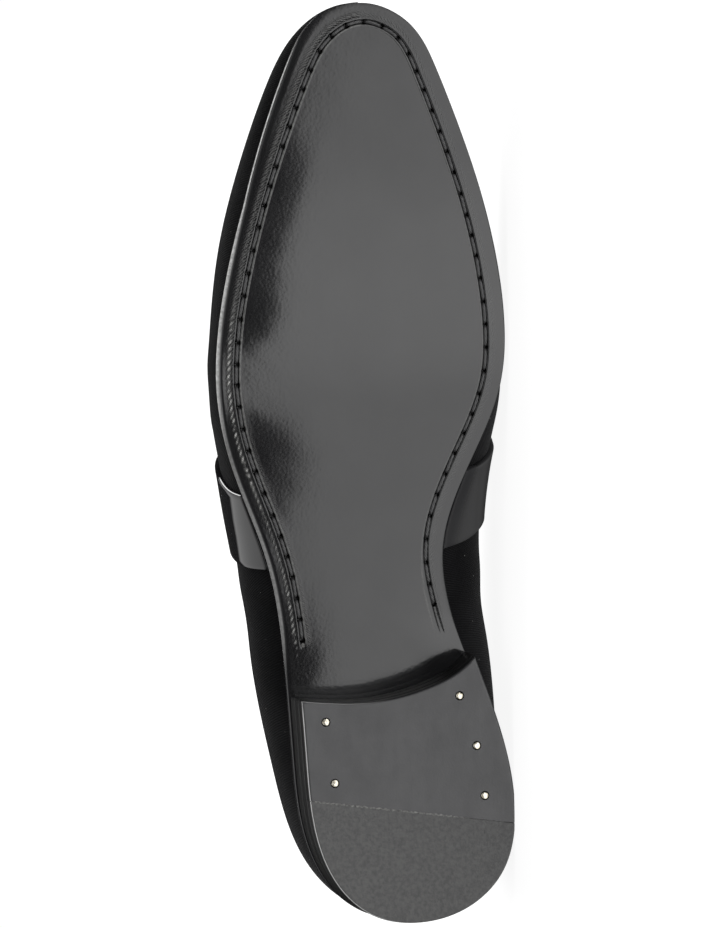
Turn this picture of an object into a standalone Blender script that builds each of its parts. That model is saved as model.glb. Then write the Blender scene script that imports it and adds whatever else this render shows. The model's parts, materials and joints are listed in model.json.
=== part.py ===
# Velvet loafer for the right foot, lying on its inner side with the sole upright.
# The shoe is worked out standing: x runs from the heel's back to the toe, +y is the inner side
# and z is up. Tables and sizes are in millimetres or in shares of the driving sizes.
# Meshes are in metres.

import bmesh
import bpy
import numpy as np
from mathutils import Matrix, Vector

MM = 0.001

# Driving sizes, millimetres
LENGTH = 298.4            # outsole, heel back to toe tip
BALL_WIDTH = 94.5         # outsole across the ball
INSTEP_HEIGHT = 103.0     # tip of the tongue above the ground
HEEL_HEIGHT = 18.0        # ground to the underside of the outsole's seat
TOE_SPRING = 11.0         # underside of the toe tip above the ground

# Thicknesses and clearances, millimetres
GAP = 0.3                 # between pieces that meet
STRAP_GAP = 0.4           # under the strap, where two curved faces meet
WALL = 2.0                # velvet, backing and lining together
STRAP_THICKNESS = 1.4
SOLE_THICKNESS = 4.5
INSOLE_THICKNESS = 2.5
TOP_PIECE_THICKNESS = 5.2
HEEL_TAPER = 0.5          # the tread is this much smaller all round than the seat
HEEL_SETBACK = 0.4        # the heel stands this far inside the outsole's edge
INSOLE_INSET = 5.2        # from the outsole's edge, clear of the upper's wall
CHANNEL_INSET = 5.4       # from the outsole's edge to the outer lip of the stitch channel
CHANNEL_WIDTH = 1.5
CHANNEL_DEPTH = 0.7
CHANNEL_LIP = 0.25        # width of the channel's sloping sides
EDGE_ROUND = 0.9          # rounding of the outsole's lower edge
INSOLE_ROUND = 0.75       # rounding of the insole's upper edge
STRAP_ROUND = 0.4         # of the strap's edges
LIFT_ROUND = 0.35         # of the heel lifts' edges
NAIL_RADIUS = 1.0
NAIL_RECESS = 0.1         # the nails' ends sit this far inside the tread
HOLE_OVERRUN = 1.0        # the nail holes' cutter passes the top piece by this on both sides

# Stations along each side of the shoe, rows up the upper's wall, and other counts
REAR_STATIONS = 26
FRONT_STATIONS = 20
HEEL_CROWDING = 0.15      # how much closer the upper's stations stand at the heel's back
TOE_CROWDING = 0.45       # and at the toe
EDGE_CROWDING = 0.085     # the same for the outsole and the insole, at both ends
WALL_ROWS = 13
STRAP_ROWS = 20
STRAP_COLUMNS = 6
HEEL_STATIONS = 20
BREAST_STATIONS = 9
TREAD_COLUMNS = 8         # faces across the outsole's underside
PLATE_COLUMNS = 2         # faces across the outsole's top and the insole
NAIL_SIDES = 12
SHARP_ANGLE = 35.0        # degrees, shown as an edge from here on
BEVEL_ANGLE = 50.0        # degrees, softened from here on

# Outline of the outsole from above: share of the length, share of the ball width.
# Heel back first, then the inner side to the toe tip, then the outer side back again.
OUTLINE = (
    (0.000, 0.000), (0.013, 0.183), (0.047, 0.303), (0.117, 0.362), (0.208, 0.328),
    (0.295, 0.250), (0.406, 0.201), (0.503, 0.315), (0.577, 0.416), (0.654, 0.439),
    (0.789, 0.385), (0.923, 0.275), (0.976, 0.198), (1.000, 0.036), (0.976, -0.133),
    (0.923, -0.243), (0.792, -0.423), (0.671, -0.535), (0.591, -0.561), (0.503, -0.513),
    (0.403, -0.413), (0.302, -0.372), (0.185, -0.365), (0.097, -0.343), (0.047, -0.279),
    (0.013, -0.167),
)
TOE_ROW = 13

# Side view of the outsole's underside: share of the length, height of the middle,
# and how far the margins curl up from it.
PROFILE_COLUMNS = ("along", "height", "curl")
PROFILE = (
    (-0.05, HEEL_HEIGHT, 0.0),
    (0.10, HEEL_HEIGHT, 0.0),
    (0.22, HEEL_HEIGHT, 0.0),
    (0.32, 0.85 * HEEL_HEIGHT, 1.2),
    (0.42, 0.60 * HEEL_HEIGHT, 2.0),
    (0.52, 0.29 * HEEL_HEIGHT, 1.7),
    (0.61, 0.06 * HEEL_HEIGHT, 1.3),
    (0.70, 0.0, 1.1),
    (0.78, 0.06 * TOE_SPRING, 1.0),
    (0.86, 0.29 * TOE_SPRING, 0.9),
    (0.93, 0.58 * TOE_SPRING, 0.7),
    (1.00, TOE_SPRING, 0.5),
    (1.05, 1.36 * TOE_SPRING, 0.5),
)

# The upper's wall, a row for each section, at a share of the way from heel back to toe tip along
# either side. The top of the wall is the topline as far as the tongue's tip and the vamp's ridge
# after it: along, middle and half are its place in shares of length and ball width, height in shares
# of the instep. The wall leaves the sole by rise and swell and comes to its top by reach and drop,
# all in millimetres. Inset is how far the wall's foot stands inside the outsole's edge.
TONGUE_STATION = 0.56
RIDGE_FADE = 0.14         # stations behind the tongue's tip over which the ridge's slope dies away
UPPER_COLUMNS = (
    "station", "along", "middle", "half", "height",
    "rise", "swell_inner", "swell_outer", "reach", "drop", "inset",
)
UPPER = (
    (0.00, 0.022, 0.000, 0.000, 0.855, 23.0, 6.0, 6.0, 1.0, 20.0, 1.4),
    (0.06, 0.036, 0.000, 0.125, 0.850, 23.0, 5.5, 5.0, 1.0, 20.0, 1.4),
    (0.12, 0.078, 0.000, 0.225, 0.825, 23.0, 7.5, 7.0, 1.0, 20.0, 1.4),
    (0.20, 0.150, 0.000, 0.300, 0.780, 23.0, 13.5, 11.0, 1.5, 20.0, 1.4),
    (0.29, 0.235, 0.005, 0.325, 0.750, 23.0, 26.0, 18.5, 3.0, 20.0, 1.6),
    (0.38, 0.312, 0.012, 0.305, 0.785, 22.0, 32.0, 20.5, 7.0, 21.0, 2.0),
    (0.46, 0.376, 0.022, 0.240, 0.890, 21.0, 31.0, 15.5, 14.0, 17.0, 2.0),
    (0.52, 0.414, 0.030, 0.130, 0.972, 21.0, 23.5, 10.0, 22.0, 8.0, 1.6),
    (0.56, 0.428, 0.034, 0.000, 1.000, 22.0, 20.0, 10.5, 26.0, 0.0, 1.3),
    (0.64, 0.503, 0.036, 0.000, 0.872, 25.0, 11.5, 11.0, 28.0, 0.0, 1.0),
    (0.73, 0.600, 0.036, 0.000, 0.682, 25.0, 11.0, 16.5, 27.0, 0.0, 1.0),
    (0.82, 0.700, 0.036, 0.000, 0.535, 21.5, 12.5, 18.0, 24.0, 0.0, 1.0),
    (0.90, 0.790, 0.035, 0.000, 0.443, 17.0, 12.0, 17.0, 20.0, 0.0, 1.0),
    (0.96, 0.856, 0.033, 0.000, 0.394, 13.0, 10.0, 13.0, 17.0, 0.0, 1.0),
    (1.00, 0.894, 0.032, 0.000, 0.364, 10.0, 9.0, 9.0, 15.0, 0.0, 1.0),
)

# The strap's edges, millimetres from the heel's back, at shares of the way from the sole to the ridge.
# The rows past 1 mirror the ones before it, so that the edges cross the ridge without a corner.
STRAP_EDGES = ("up", "rear_inner", "front_inner", "rear_outer", "front_outer")
STRAP = (
    (0.00, 119.5, 145.0, 117.5, 142.5),
    (0.15, 122.0, 149.0, 118.5, 146.0),
    (0.28, 126.0, 154.5, 121.0, 152.5),
    (0.60, 134.0, 163.5, 130.0, 162.0),
    (0.85, 138.9, 168.8, 138.3, 168.6),
    (1.00, 140.3, 170.2, 140.3, 170.2),
    (1.15, 138.9, 168.8, 138.3, 168.6),
    (1.40, 134.0, 163.5, 130.0, 162.0),
)

STRAP_FOOT = 0.04         # share of the wall where the strap meets the sole
STRAP_REACH = (0.3, 0.9)  # stations between which both its edges lie

# Front edge of the heel seen from below: share of the ball width, millimetres from the heel's back
BREAST = (
    (-0.390, 76.4), (-0.250, 74.3), (-0.110, 73.5), (0.040, 75.4),
    (0.127, 77.8), (0.190, 80.5), (0.245, 84.3), (0.280, 87.6),
)
BREAST_REACH = (0.2, 0.4)  # stations between which it meets the outsole's edge

# Along and across, in millimetres: both ends of the straight joint in the tread, and the nails
RUBBER_LINE = ((43.7, -34.3), (30.0, 34.2))
NAILS = ((68.4, -26.3), (48.5, -24.8), (73.0, 18.1), (56.4, 22.6), (40.0, 24.1))

# Where the stitch channel fades in at the waist, millimetres from the heel's back
CHANNEL_ENDS = {"inner": 89.0, "outer": 87.0}
CHANNEL_FADE = 8.0

# Weight of each kind of piece, grams per cubic centimetre, for the balance point
DENSITY = {"upper": 0.85, "strap": 1.0, "outsole": 1.05, "insole": 0.8, "heel": 1.1, "nail": 8.4}

# Base colour, roughness and metallic of each finish
FINISHES = {
    "velvet": ((0.012, 0.012, 0.014), 0.9, 0.0),
    "patent": ((0.008, 0.008, 0.009), 0.08, 0.0),
    "sole_leather": ((0.045, 0.045, 0.047), 0.3, 0.0),
    "insole_leather": ((0.03, 0.028, 0.027), 0.55, 0.0),
    "heel_leather": ((0.04, 0.04, 0.042), 0.4, 0.0),
    "heel_rubber": ((0.05, 0.05, 0.05), 0.75, 0.0),
    "brass": ((0.75, 0.62, 0.36), 0.3, 1.0),
}

SIDES = {"inner": 1, "outer": -1}
SIDE_NAMES = {1: "inner", -1: "outer"}
SEARCH_STEPS = 80         # steps in a search along the stations
RESTING_LEAN = 0.5        # a face of the hull counts as the inner side above this share of +y


def spline(knots, values, closed=False):
    """A smooth curve through a value for each knot."""
    knots = np.asarray(knots, float)
    values = np.asarray(values, float)
    count = len(knots)
    step = np.diff(knots)
    slope = np.diff(values) / step
    system = np.eye(count)
    right = np.zeros(count)
    for i in range(1, count - 1):
        system[i, i - 1:i + 2] = step[i - 1], 2 * (step[i - 1] + step[i]), step[i]
        right[i] = 6 * (slope[i] - slope[i - 1])
    if closed:
        system[0, -1] = -1
        system[-1, [0, 1, -2]] = 2 * (step[-1] + step[0]), step[0], step[-1]
        system[-1, -1] = 0
        right[-1] = 6 * (slope[0] - slope[-1])
    bend = np.linalg.solve(system, right)

    def at(where):
        where = np.asarray(where, float)
        i = np.clip(np.searchsorted(knots, where) - 1, 0, count - 2)
        b = (where - knots[i]) / step[i]
        a = 1 - b
        curve = ((a**3 - a) * bend[i] + (b**3 - b) * bend[i + 1]) * step[i] ** 2 / 6
        return a * values[i] + b * values[i + 1] + curve

    return at


def table_curves(columns, rows):
    """A smooth curve for each column of a table, over its first column."""
    table = np.array(rows, float).T
    return {name: spline(table[0], column) for name, column in zip(columns[1:], table[1:])}


def fade(where, start, end):
    """0 before start, 1 after end, and smooth between them."""
    share = np.clip((where - start) / (end - start), 0, 1)
    return share * share * (3 - 2 * share)


class Outline:
    """The outsole's edge from above. A station is a share of one side, heel back to toe tip."""

    SAMPLES = 6000

    def __init__(self):
        points = np.array(OUTLINE + OUTLINE[:1]) * (LENGTH, BALL_WIDTH)
        chords = np.linalg.norm(np.diff(points, axis=0), axis=1)
        knots = np.concatenate([[0], np.cumsum(chords)])
        fine = np.linspace(0, knots[-1], self.SAMPLES + 1)
        curves = [spline(knots, points[:, i], closed=True) for i in range(2)]
        self.points = np.column_stack([curve(fine) for curve in curves])
        tangent = np.gradient(self.points, axis=0)
        tangent[[0, -1]] = self.points[1] - self.points[-2]
        tangent /= np.linalg.norm(tangent, axis=1)[:, None]
        self.normals = np.column_stack([-tangent[:, 1], tangent[:, 0]])
        travelled = np.cumsum(np.linalg.norm(np.diff(self.points, axis=0), axis=1))
        self.travelled = np.concatenate([[0], travelled])
        self.toe = np.interp(knots[TOE_ROW], fine, self.travelled)

    def at(self, side, station, inset=0.0):
        """Point and outward direction on the edge, moved inwards by the inset."""
        whole = self.travelled[-1]
        place = station * self.toe if side > 0 else whole - station * (whole - self.toe)
        point = np.array([np.interp(place, self.travelled, self.points[:, i]) for i in range(2)])
        normal = np.array([np.interp(place, self.travelled, self.normals[:, i]) for i in range(2)])
        normal /= np.linalg.norm(normal)
        return point - normal * inset, normal


OUTSOLE_EDGE = Outline()
PROFILE_CURVES = table_curves(PROFILE_COLUMNS, PROFILE)
UPPER_CURVES = table_curves(UPPER_COLUMNS, UPPER)
STRAP_CURVES = table_curves(STRAP_EDGES, STRAP)


def sole_bottom(along):
    return float(PROFILE_CURVES["height"](along / LENGTH))


def sole_top(along):
    return sole_bottom(along) + SOLE_THICKNESS


def margin_curl(along, out):
    """How far the underside lifts at a share of the way out from the middle to the edge."""
    return float(PROFILE_CURVES["curl"](along / LENGTH)) * abs(out) ** 3


def end_crowded(count):
    """Shares from 0 to 1 that crowd together at both ends, for the round heel and toe."""
    even = np.linspace(0, 1, count + 1)
    return even - EDGE_CROWDING * np.sin(2 * np.pi * even)


def ridge_slope(station):
    """Rise of the vamp's ridge for each millimetre forward. It fades out behind the tongue's tip."""
    step = 0.002
    ahead = max(station, TONGUE_STATION)
    low, high = min(ahead, 1 - step), min(ahead, 1 - step) + step
    run = (UPPER_CURVES["along"](high) - UPPER_CURVES["along"](low)) * LENGTH
    lift = (UPPER_CURVES["height"](high) - UPPER_CURVES["height"](low)) * INSTEP_HEIGHT
    return float(lift / run) * float(fade(station, TONGUE_STATION - RIDGE_FADE, TONGUE_STATION))


def wall_line(side, station):
    """The four guide points of the upper's wall at one station: sole, swell, shoulder and top."""
    row = {name: float(curve(station)) for name, curve in UPPER_CURVES.items()}
    swell = row[f"swell_{SIDE_NAMES[side]}"]
    foot, out = OUTSOLE_EDGE.at(side, station, row["inset"])
    half = row["half"] if station < TONGUE_STATION else 0.0
    drop = row["drop"] if station < TONGUE_STATION else 0.0
    outward = np.array([out[0], out[1], 0.0])
    up = np.array([0.0, 0.0, 1.0])
    base = np.array([foot[0], foot[1], sole_top(foot[0]) + GAP])
    top = np.array([
        row["along"] * LENGTH,
        (row["middle"] + side * half) * BALL_WIDTH,
        row["height"] * INSTEP_HEIGHT,
    ])
    shoulder = top + row["reach"] * (outward + up * out[0] * ridge_slope(station)) - up * drop
    return base, base + outward * swell + up * row["rise"], shoulder, top


def on_wall(side, station, share):
    """A point of the upper's outer surface, at a share of the way from the sole to the top."""
    base, swell, shoulder, top = wall_line(side, station)
    rest = 1 - share
    low = rest**3 * base + 3 * rest**2 * share * swell
    return low + 3 * rest * share**2 * shoulder + share**3 * top


def wall_normal(side, station, share):
    """Outward direction of the upper's surface."""
    step = 0.004
    low, high = max(share - step, 0), min(share + step, 1)
    upward = on_wall(side, station, high) - on_wall(side, station, low)
    back, ahead = max(station - step, 0), min(station + step, 1)
    forward = on_wall(side, ahead, share) - on_wall(side, back, share)
    if share > 1 - step and station >= TONGUE_STATION:
        across = on_wall(1, station, 1 - step) - on_wall(-1, station, 1 - step)
        normal = np.cross(forward, across)
    else:
        normal = np.cross(upward, forward) * side
    return normal / np.linalg.norm(normal)


def finish(name):
    material = bpy.data.materials.new(name)
    material.use_nodes = True
    shader = material.node_tree.nodes["Principled BSDF"]
    colour, roughness, metallic = FINISHES[name]
    shader.inputs["Base Color"].default_value = (*colour, 1)
    shader.inputs["Roughness"].default_value = roughness
    shader.inputs["Metallic"].default_value = metallic
    return material


def make_object(name, mesh_builder, material):
    """A named object from a bmesh in millimetres."""
    mesh = bpy.data.meshes.new(name)
    bmesh.ops.scale(mesh_builder, vec=(MM, MM, MM), verts=mesh_builder.verts)
    mesh_builder.to_mesh(mesh)
    mesh_builder.free()
    mesh.materials.append(material)
    mesh.shade_smooth()
    mesh.set_sharp_from_angle(angle=np.radians(SHARP_ANGLE))
    made = bpy.data.objects.new(name, mesh)
    bpy.context.collection.objects.link(made)
    return made


def skin_rings(builder, rings):
    """Quads between closed rings of the same number of points."""
    loops = [[builder.verts.new(point) for point in ring] for ring in rings]
    for lower, upper in zip(loops, loops[1:]):
        for i in range(len(lower)):
            k = (i + 1) % len(lower)
            builder.faces.new((lower[i], lower[k], upper[k], upper[i]))
    return loops


def fill_rungs(builder, ring, columns, height):
    """Fills a ring that runs up one side and down the other with a ladder of quads."""
    half = len(ring) // 2
    rungs = []
    for i in range(1, half):
        start, end = ring[i], ring[-i]
        rung = [start]
        for k in range(1, columns):
            share = k / columns
            point = start.co.lerp(end.co, share)
            point.z = height(point.x, 2 * share - 1)
            rung.append(builder.verts.new(point))
        rungs.append(rung + [end])
    for near, far in zip(rungs, rungs[1:]):
        for k in range(columns):
            builder.faces.new((near[k], far[k], far[k + 1], near[k + 1]))
    for tip, rung in ((ring[0], rungs[0]), (ring[half], rungs[-1])):
        for k in range(columns):
            builder.faces.new((tip, rung[k], rung[k + 1]))


def face_outwards(builder):
    bmesh.ops.recalc_face_normals(builder, faces=builder.faces)


def edge_ring(inset, height, stations):
    """Points all round the outsole's edge, heel back first, then inner side, toe and outer side."""
    around = [(1, station) for station in stations]
    around += [(-1, station) for station in stations[-2:0:-1]]
    ring = []
    for side, station in around:
        point, _ = OUTSOLE_EDGE.at(side, station, inset)
        ring.append(Vector((point[0], point[1], height(point[0], side))))
    return ring


def build_outsole(material):
    """Leather sole: thickness, curled margins, rounded lower edge and the open stitch channel."""
    stations = end_crowded(REAR_STATIONS + FRONT_STATIONS)
    half_width = BALL_WIDTH / 2

    def top(along, _):
        return sole_top(along)

    def under(inset, lift):
        out = 1 - inset / half_width
        return lambda along, _: sole_bottom(along) + margin_curl(along, out) + lift

    def channel_floor(inset):
        flat = under(inset, 0)

        def floor(along, side):
            end = CHANNEL_ENDS[SIDE_NAMES[side]]
            return flat(along, side) + CHANNEL_DEPTH * float(fade(along, end, end + CHANNEL_FADE))

        return floor

    def edge_top(along, _):
        return sole_top(along) - EDGE_ROUND / 2

    outer_floor = CHANNEL_INSET + CHANNEL_LIP
    inner_lip = CHANNEL_INSET + CHANNEL_WIDTH
    inner_floor = inner_lip - CHANNEL_LIP
    corner = 0.3 * EDGE_ROUND
    rings = [
        edge_ring(EDGE_ROUND / 2, top, stations),
        edge_ring(0, edge_top, stations),
        edge_ring(0, under(0, EDGE_ROUND), stations),
        edge_ring(corner, under(0, corner), stations),
        edge_ring(EDGE_ROUND, under(EDGE_ROUND, 0), stations),
        edge_ring(CHANNEL_INSET, under(CHANNEL_INSET, 0), stations),
        edge_ring(outer_floor, channel_floor(outer_floor), stations),
        edge_ring(inner_floor, channel_floor(inner_floor), stations),
        edge_ring(inner_lip, under(inner_lip, 0), stations),
    ]
    builder = bmesh.new()
    loops = skin_rings(builder, rings)

    def tread(along, out):
        return sole_bottom(along) + margin_curl(along, out * (1 - inner_lip / half_width))

    fill_rungs(builder, loops[0], PLATE_COLUMNS, top)
    fill_rungs(builder, loops[-1], TREAD_COLUMNS, tread)
    face_outwards(builder)
    return make_object("outsole", builder, material)


def build_insole(material):
    """Footbed plate that lies on the outsole inside the upper's wall."""
    stations = end_crowded(REAR_STATIONS + FRONT_STATIONS)[::2]

    def low(along, _):
        return sole_top(along) + GAP

    def high(along, _):
        return sole_top(along) + GAP + INSOLE_THICKNESS

    def shoulder(along, _):
        return sole_top(along) + GAP + INSOLE_THICKNESS - INSOLE_ROUND

    rings = [
        edge_ring(INSOLE_INSET, low, stations),
        edge_ring(INSOLE_INSET, shoulder, stations),
        edge_ring(INSOLE_INSET + INSOLE_ROUND, high, stations),
    ]
    builder = bmesh.new()
    loops = skin_rings(builder, rings)
    fill_rungs(builder, loops[0], PLATE_COLUMNS, low)
    fill_rungs(builder, loops[-1], PLATE_COLUMNS, high)
    face_outwards(builder)
    return make_object("insole", builder, material)


def upper_stations():
    """Stations of the upper, with one at the tongue's tip where the topline gives way to the ridge."""
    rear = np.linspace(0, 1, REAR_STATIONS + 1)
    front = np.linspace(0, 1, FRONT_STATIONS + 1)[1:]
    rear = TONGUE_STATION * (rear - HEEL_CROWDING * rear * (1 - rear))
    front = TONGUE_STATION + (1 - TONGUE_STATION) * (front + TOE_CROWDING * front * (1 - front))
    return [*rear, *front]


def add_thickness(made, thickness, offset):
    wall = made.modifiers.new("thickness", "SOLIDIFY")
    wall.thickness = thickness * MM
    wall.offset = offset
    wall.use_even_offset = True


def build_upper(material):
    """Velvet upper: walls round the sole's edge, joined along the vamp's ridge, open at the collar."""
    stations = upper_stations()
    shares = np.linspace(0, 1, WALL_ROWS + 1)
    builder = bmesh.new()
    for side in SIDES.values():
        grid = []
        for station in stations:
            grid.append([builder.verts.new(on_wall(side, station, share)) for share in shares])
        for near, far in zip(grid, grid[1:]):
            for k in range(WALL_ROWS):
                corners = (near[k], far[k], far[k + 1], near[k + 1])
                builder.faces.new(corners if side < 0 else corners[::-1])
    bmesh.ops.remove_doubles(builder, verts=builder.verts, dist=0.001)
    made = make_object("upper", builder, material)
    add_thickness(made, WALL, -1)
    return made


def strap_stations(side, share):
    """Stations of the upper under one row of the strap, rear edge to front edge."""
    rear, front = (float(STRAP_CURVES[f"{edge}_{SIDE_NAMES[side]}"](share)) for edge in ("rear", "front"))
    stations = np.linspace(*STRAP_REACH, SEARCH_STEPS + 1)
    along = [on_wall(side, station, share)[0] for station in stations]
    return np.interp(np.linspace(rear, front, STRAP_COLUMNS + 1), along, stations)


def build_strap(material):
    """Patent band over the instep, laid on the upper's own surface from sole to sole."""
    shares = np.linspace(STRAP_FOOT, 1, STRAP_ROWS + 1)
    course = [(1, share) for share in shares] + [(-1, share) for share in shares[-2::-1]]
    builder = bmesh.new()
    rows = []
    for side, share in course:
        row = []
        for station in strap_stations(side, share):
            lifted = on_wall(side, station, share) + STRAP_GAP * wall_normal(side, station, share)
            row.append(builder.verts.new(lifted))
        rows.append(row)
    for near, far in zip(rows, rows[1:]):
        for k in range(STRAP_COLUMNS):
            builder.faces.new((near[k], far[k], far[k + 1], near[k + 1]))
    made = make_object("strap", builder, material)
    add_thickness(made, STRAP_THICKNESS, 1)
    soften_edges(made, STRAP_ROUND)
    return made


def soften_edges(made, width):
    bevel = made.modifiers.new("soft edges", "BEVEL")
    bevel.width = width * MM
    bevel.segments = 1
    bevel.limit_method = "ANGLE"
    bevel.angle_limit = np.radians(BEVEL_ANGLE)


def breast_at(across):
    table = np.array(BREAST).T
    return float(spline(table[0] * BALL_WIDTH, table[1])(across))


def breast_corner(side, inset):
    """Station where the heel's front edge meets the outsole's edge."""
    stations = np.linspace(*BREAST_REACH, SEARCH_STEPS + 1)
    points = [OUTSOLE_EDGE.at(side, station, inset)[0] for station in stations]
    ahead = [point[0] - breast_at(point[1]) for point in points]
    return float(np.interp(0, ahead, stations))


def heel_loop(inset):
    """The heel's outline from below: round the back from breast to breast, then along the breast."""
    corner = {side: breast_corner(side, inset) for side in SIDES.values()}
    shares = np.linspace(0, 1, HEEL_STATIONS + 1)
    around = [(-1, corner[-1] * share) for share in shares[:0:-1]]
    around += [(1, corner[1] * share) for share in shares]
    loop = [OUTSOLE_EDGE.at(side, station, inset)[0] for side, station in around]
    for share in np.linspace(0, 1, BREAST_STATIONS + 2)[1:-1]:
        across = loop[2 * HEEL_STATIONS][1] * (1 - share) + loop[0][1] * share
        loop.append((breast_at(across), across))
    return loop


def heel_slab(low, high):
    """A slice of the heel that tapers towards the ground, between two heights that vary along it."""
    rings = []
    for height in (low, high):
        inset = HEEL_SETBACK + HEEL_TAPER * (1 - height(0) / HEEL_HEIGHT)
        rings.append([Vector((x, y, height(x))) for x, y in heel_loop(inset)])
    builder = bmesh.new()
    loops = skin_rings(builder, rings)
    for loop in loops:
        builder.faces.new(loop)
    face_outwards(builder)
    return builder


def level(height):
    return lambda along: height


def build_lifts(material):
    """Two stacked lifts between the top piece and the outsole's seat."""
    start = TOP_PIECE_THICKNESS + GAP
    middle = (start + HEEL_HEIGHT) / 2

    def under_seat(along):
        return sole_bottom(along) - GAP

    slabs = {
        "heel_lift_1": heel_slab(level(middle), under_seat),
        "heel_lift_2": heel_slab(level(start), level(middle - GAP)),
    }
    lifts = [make_object(name, slab, material) for name, slab in slabs.items()]
    for lift in lifts:
        soften_edges(lift, LIFT_ROUND)
    return lifts


def keep_side(builder, forward):
    """Cuts the heel's tread along the straight joint and keeps the part ahead of it or behind it."""
    start, end = (Vector((x, y, 0)) for x, y in RUBBER_LINE)
    ahead = (end - start).cross(Vector((0, 0, 1))).normalized()
    ahead *= 1 if ahead.x > 0 else -1
    towards = ahead if forward else -ahead
    bmesh.ops.bisect_plane(
        builder,
        geom=builder.verts[:] + builder.edges[:] + builder.faces[:],
        plane_co=start + towards * GAP / 2,
        plane_no=towards,
        clear_inner=True,
    )
    bmesh.ops.holes_fill(builder, edges=[edge for edge in builder.edges if edge.is_boundary])
    face_outwards(builder)
    return builder


def pin(builder, place, radius, low, high):
    bmesh.ops.create_cone(
        builder,
        cap_ends=True,
        segments=NAIL_SIDES,
        radius1=radius,
        radius2=radius,
        depth=high - low,
        matrix=Matrix.Translation((place[0], place[1], (low + high) / 2)),
    )


def build_top_piece(leather, rubber, brass):
    """The tread: leather ahead, rubber behind, and brass nails through the leather."""
    low, high = level(0.0), level(TOP_PIECE_THICKNESS)
    front = make_object("heel_top_piece", keep_side(heel_slab(low, high), True), leather)
    back = make_object("heel_rubber_tip", keep_side(heel_slab(low, high), False), rubber)
    holes = bmesh.new()
    for place in NAILS:
        pin(holes, place, NAIL_RADIUS + GAP, -HOLE_OVERRUN, TOP_PIECE_THICKNESS + HOLE_OVERRUN)
    cutter = make_object("nail_holes", holes, leather)
    cutter.hide_render = True
    cutter.display_type = "WIRE"
    drill = front.modifiers.new("nail holes", "BOOLEAN")
    drill.operation = "DIFFERENCE"
    drill.solver = "EXACT"
    drill.object = cutter
    made = [front, back, cutter]
    for number, place in enumerate(NAILS, 1):
        nail = bmesh.new()
        pin(nail, place, NAIL_RADIUS, NAIL_RECESS, TOP_PIECE_THICKNESS)
        made.append(make_object(f"nail_{number}", nail, brass))
    return made


def shoe_points(pieces):
    """Every point of the finished pieces, and their common balance point."""
    bpy.context.view_layer.update()
    graph = bpy.context.evaluated_depsgraph_get()
    clouds = []
    weights = []
    for piece in pieces:
        mesh = piece.evaluated_get(graph).to_mesh()
        mesh.calc_loop_triangles()
        points = np.array([vertex.co for vertex in mesh.vertices])
        corners = points[[list(triangle.vertices) for triangle in mesh.loop_triangles]]
        volumes = np.linalg.det(corners) / 6
        centre = (corners.sum(axis=1) / 4 * volumes[:, None]).sum(axis=0) / volumes.sum()
        weights.append((volumes.sum() * DENSITY[piece.name.split("_")[0]], centre))
        clouds.append(points)
        piece.evaluated_get(graph).to_mesh_clear()
    whole = sum(weight for weight, _ in weights)
    balance = sum(weight * centre for weight, centre in weights) / whole
    return np.concatenate(clouds), balance


def resting_turn(points, balance):
    """The turn that lays the shoe on its inner side, on the three points that it comes to rest on."""
    hull = bmesh.new()
    for point in points:
        hull.verts.new(point)
    bmesh.ops.convex_hull(hull, input=hull.verts)
    best = None
    for face in hull.faces:
        corners = [np.array(vertex.co) for vertex in face.verts]
        normal = np.array(face.normal)
        if len(corners) != 3 or normal[1] < RESTING_LEAN:
            continue
        spans = []
        for start, end in zip(corners, corners[1:] + corners[:1]):
            spans.append(np.cross(end - start, balance - start).dot(normal))
        if min(spans) > 0 and (best is None or normal[1] > best[1]):
            best = normal
    hull.free()
    down = best / np.linalg.norm(best)
    ahead = np.array([1.0, 0.0, 0.0]) - down * down[0]
    ahead /= np.linalg.norm(ahead)
    return Matrix((ahead, np.cross(-down, ahead), -down))


def lay_down(pieces, solids):
    """Parents the pieces to an empty that lays them on the inner side, bottom centre at the origin."""
    points, balance = shoe_points(solids)
    turn = resting_turn(points, balance)
    turned = points @ np.array(turn).T
    low, high = turned.min(axis=0), turned.max(axis=0)
    middle = (low + high) / 2
    shoe = bpy.data.objects.new("shoe", None)
    bpy.context.collection.objects.link(shoe)
    shoe.matrix_world = Matrix.Translation((-middle[0], -middle[1], -low[2])) @ turn.to_4x4()
    for piece in pieces:
        piece.parent = shoe


def main():
    for old in list(bpy.data.objects):
        bpy.data.objects.remove(old, do_unlink=True)
    finishes = {name: finish(name) for name in FINISHES}
    pieces = [
        build_upper(finishes["velvet"]),
        build_strap(finishes["patent"]),
        build_outsole(finishes["sole_leather"]),
        build_insole(finishes["insole_leather"]),
    ]
    pieces += build_lifts(finishes["heel_leather"])
    pieces += build_top_piece(finishes["heel_leather"], finishes["heel_rubber"], finishes["brass"])
    lay_down(pieces, [piece for piece in pieces if not piece.hide_render])


main()
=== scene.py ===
import json
import math
from contextlib import contextmanager

import bmesh
import bpy
import numpy as np
from mathutils import Matrix, Vector
from mathutils.bvhtree import BVHTree

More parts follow.
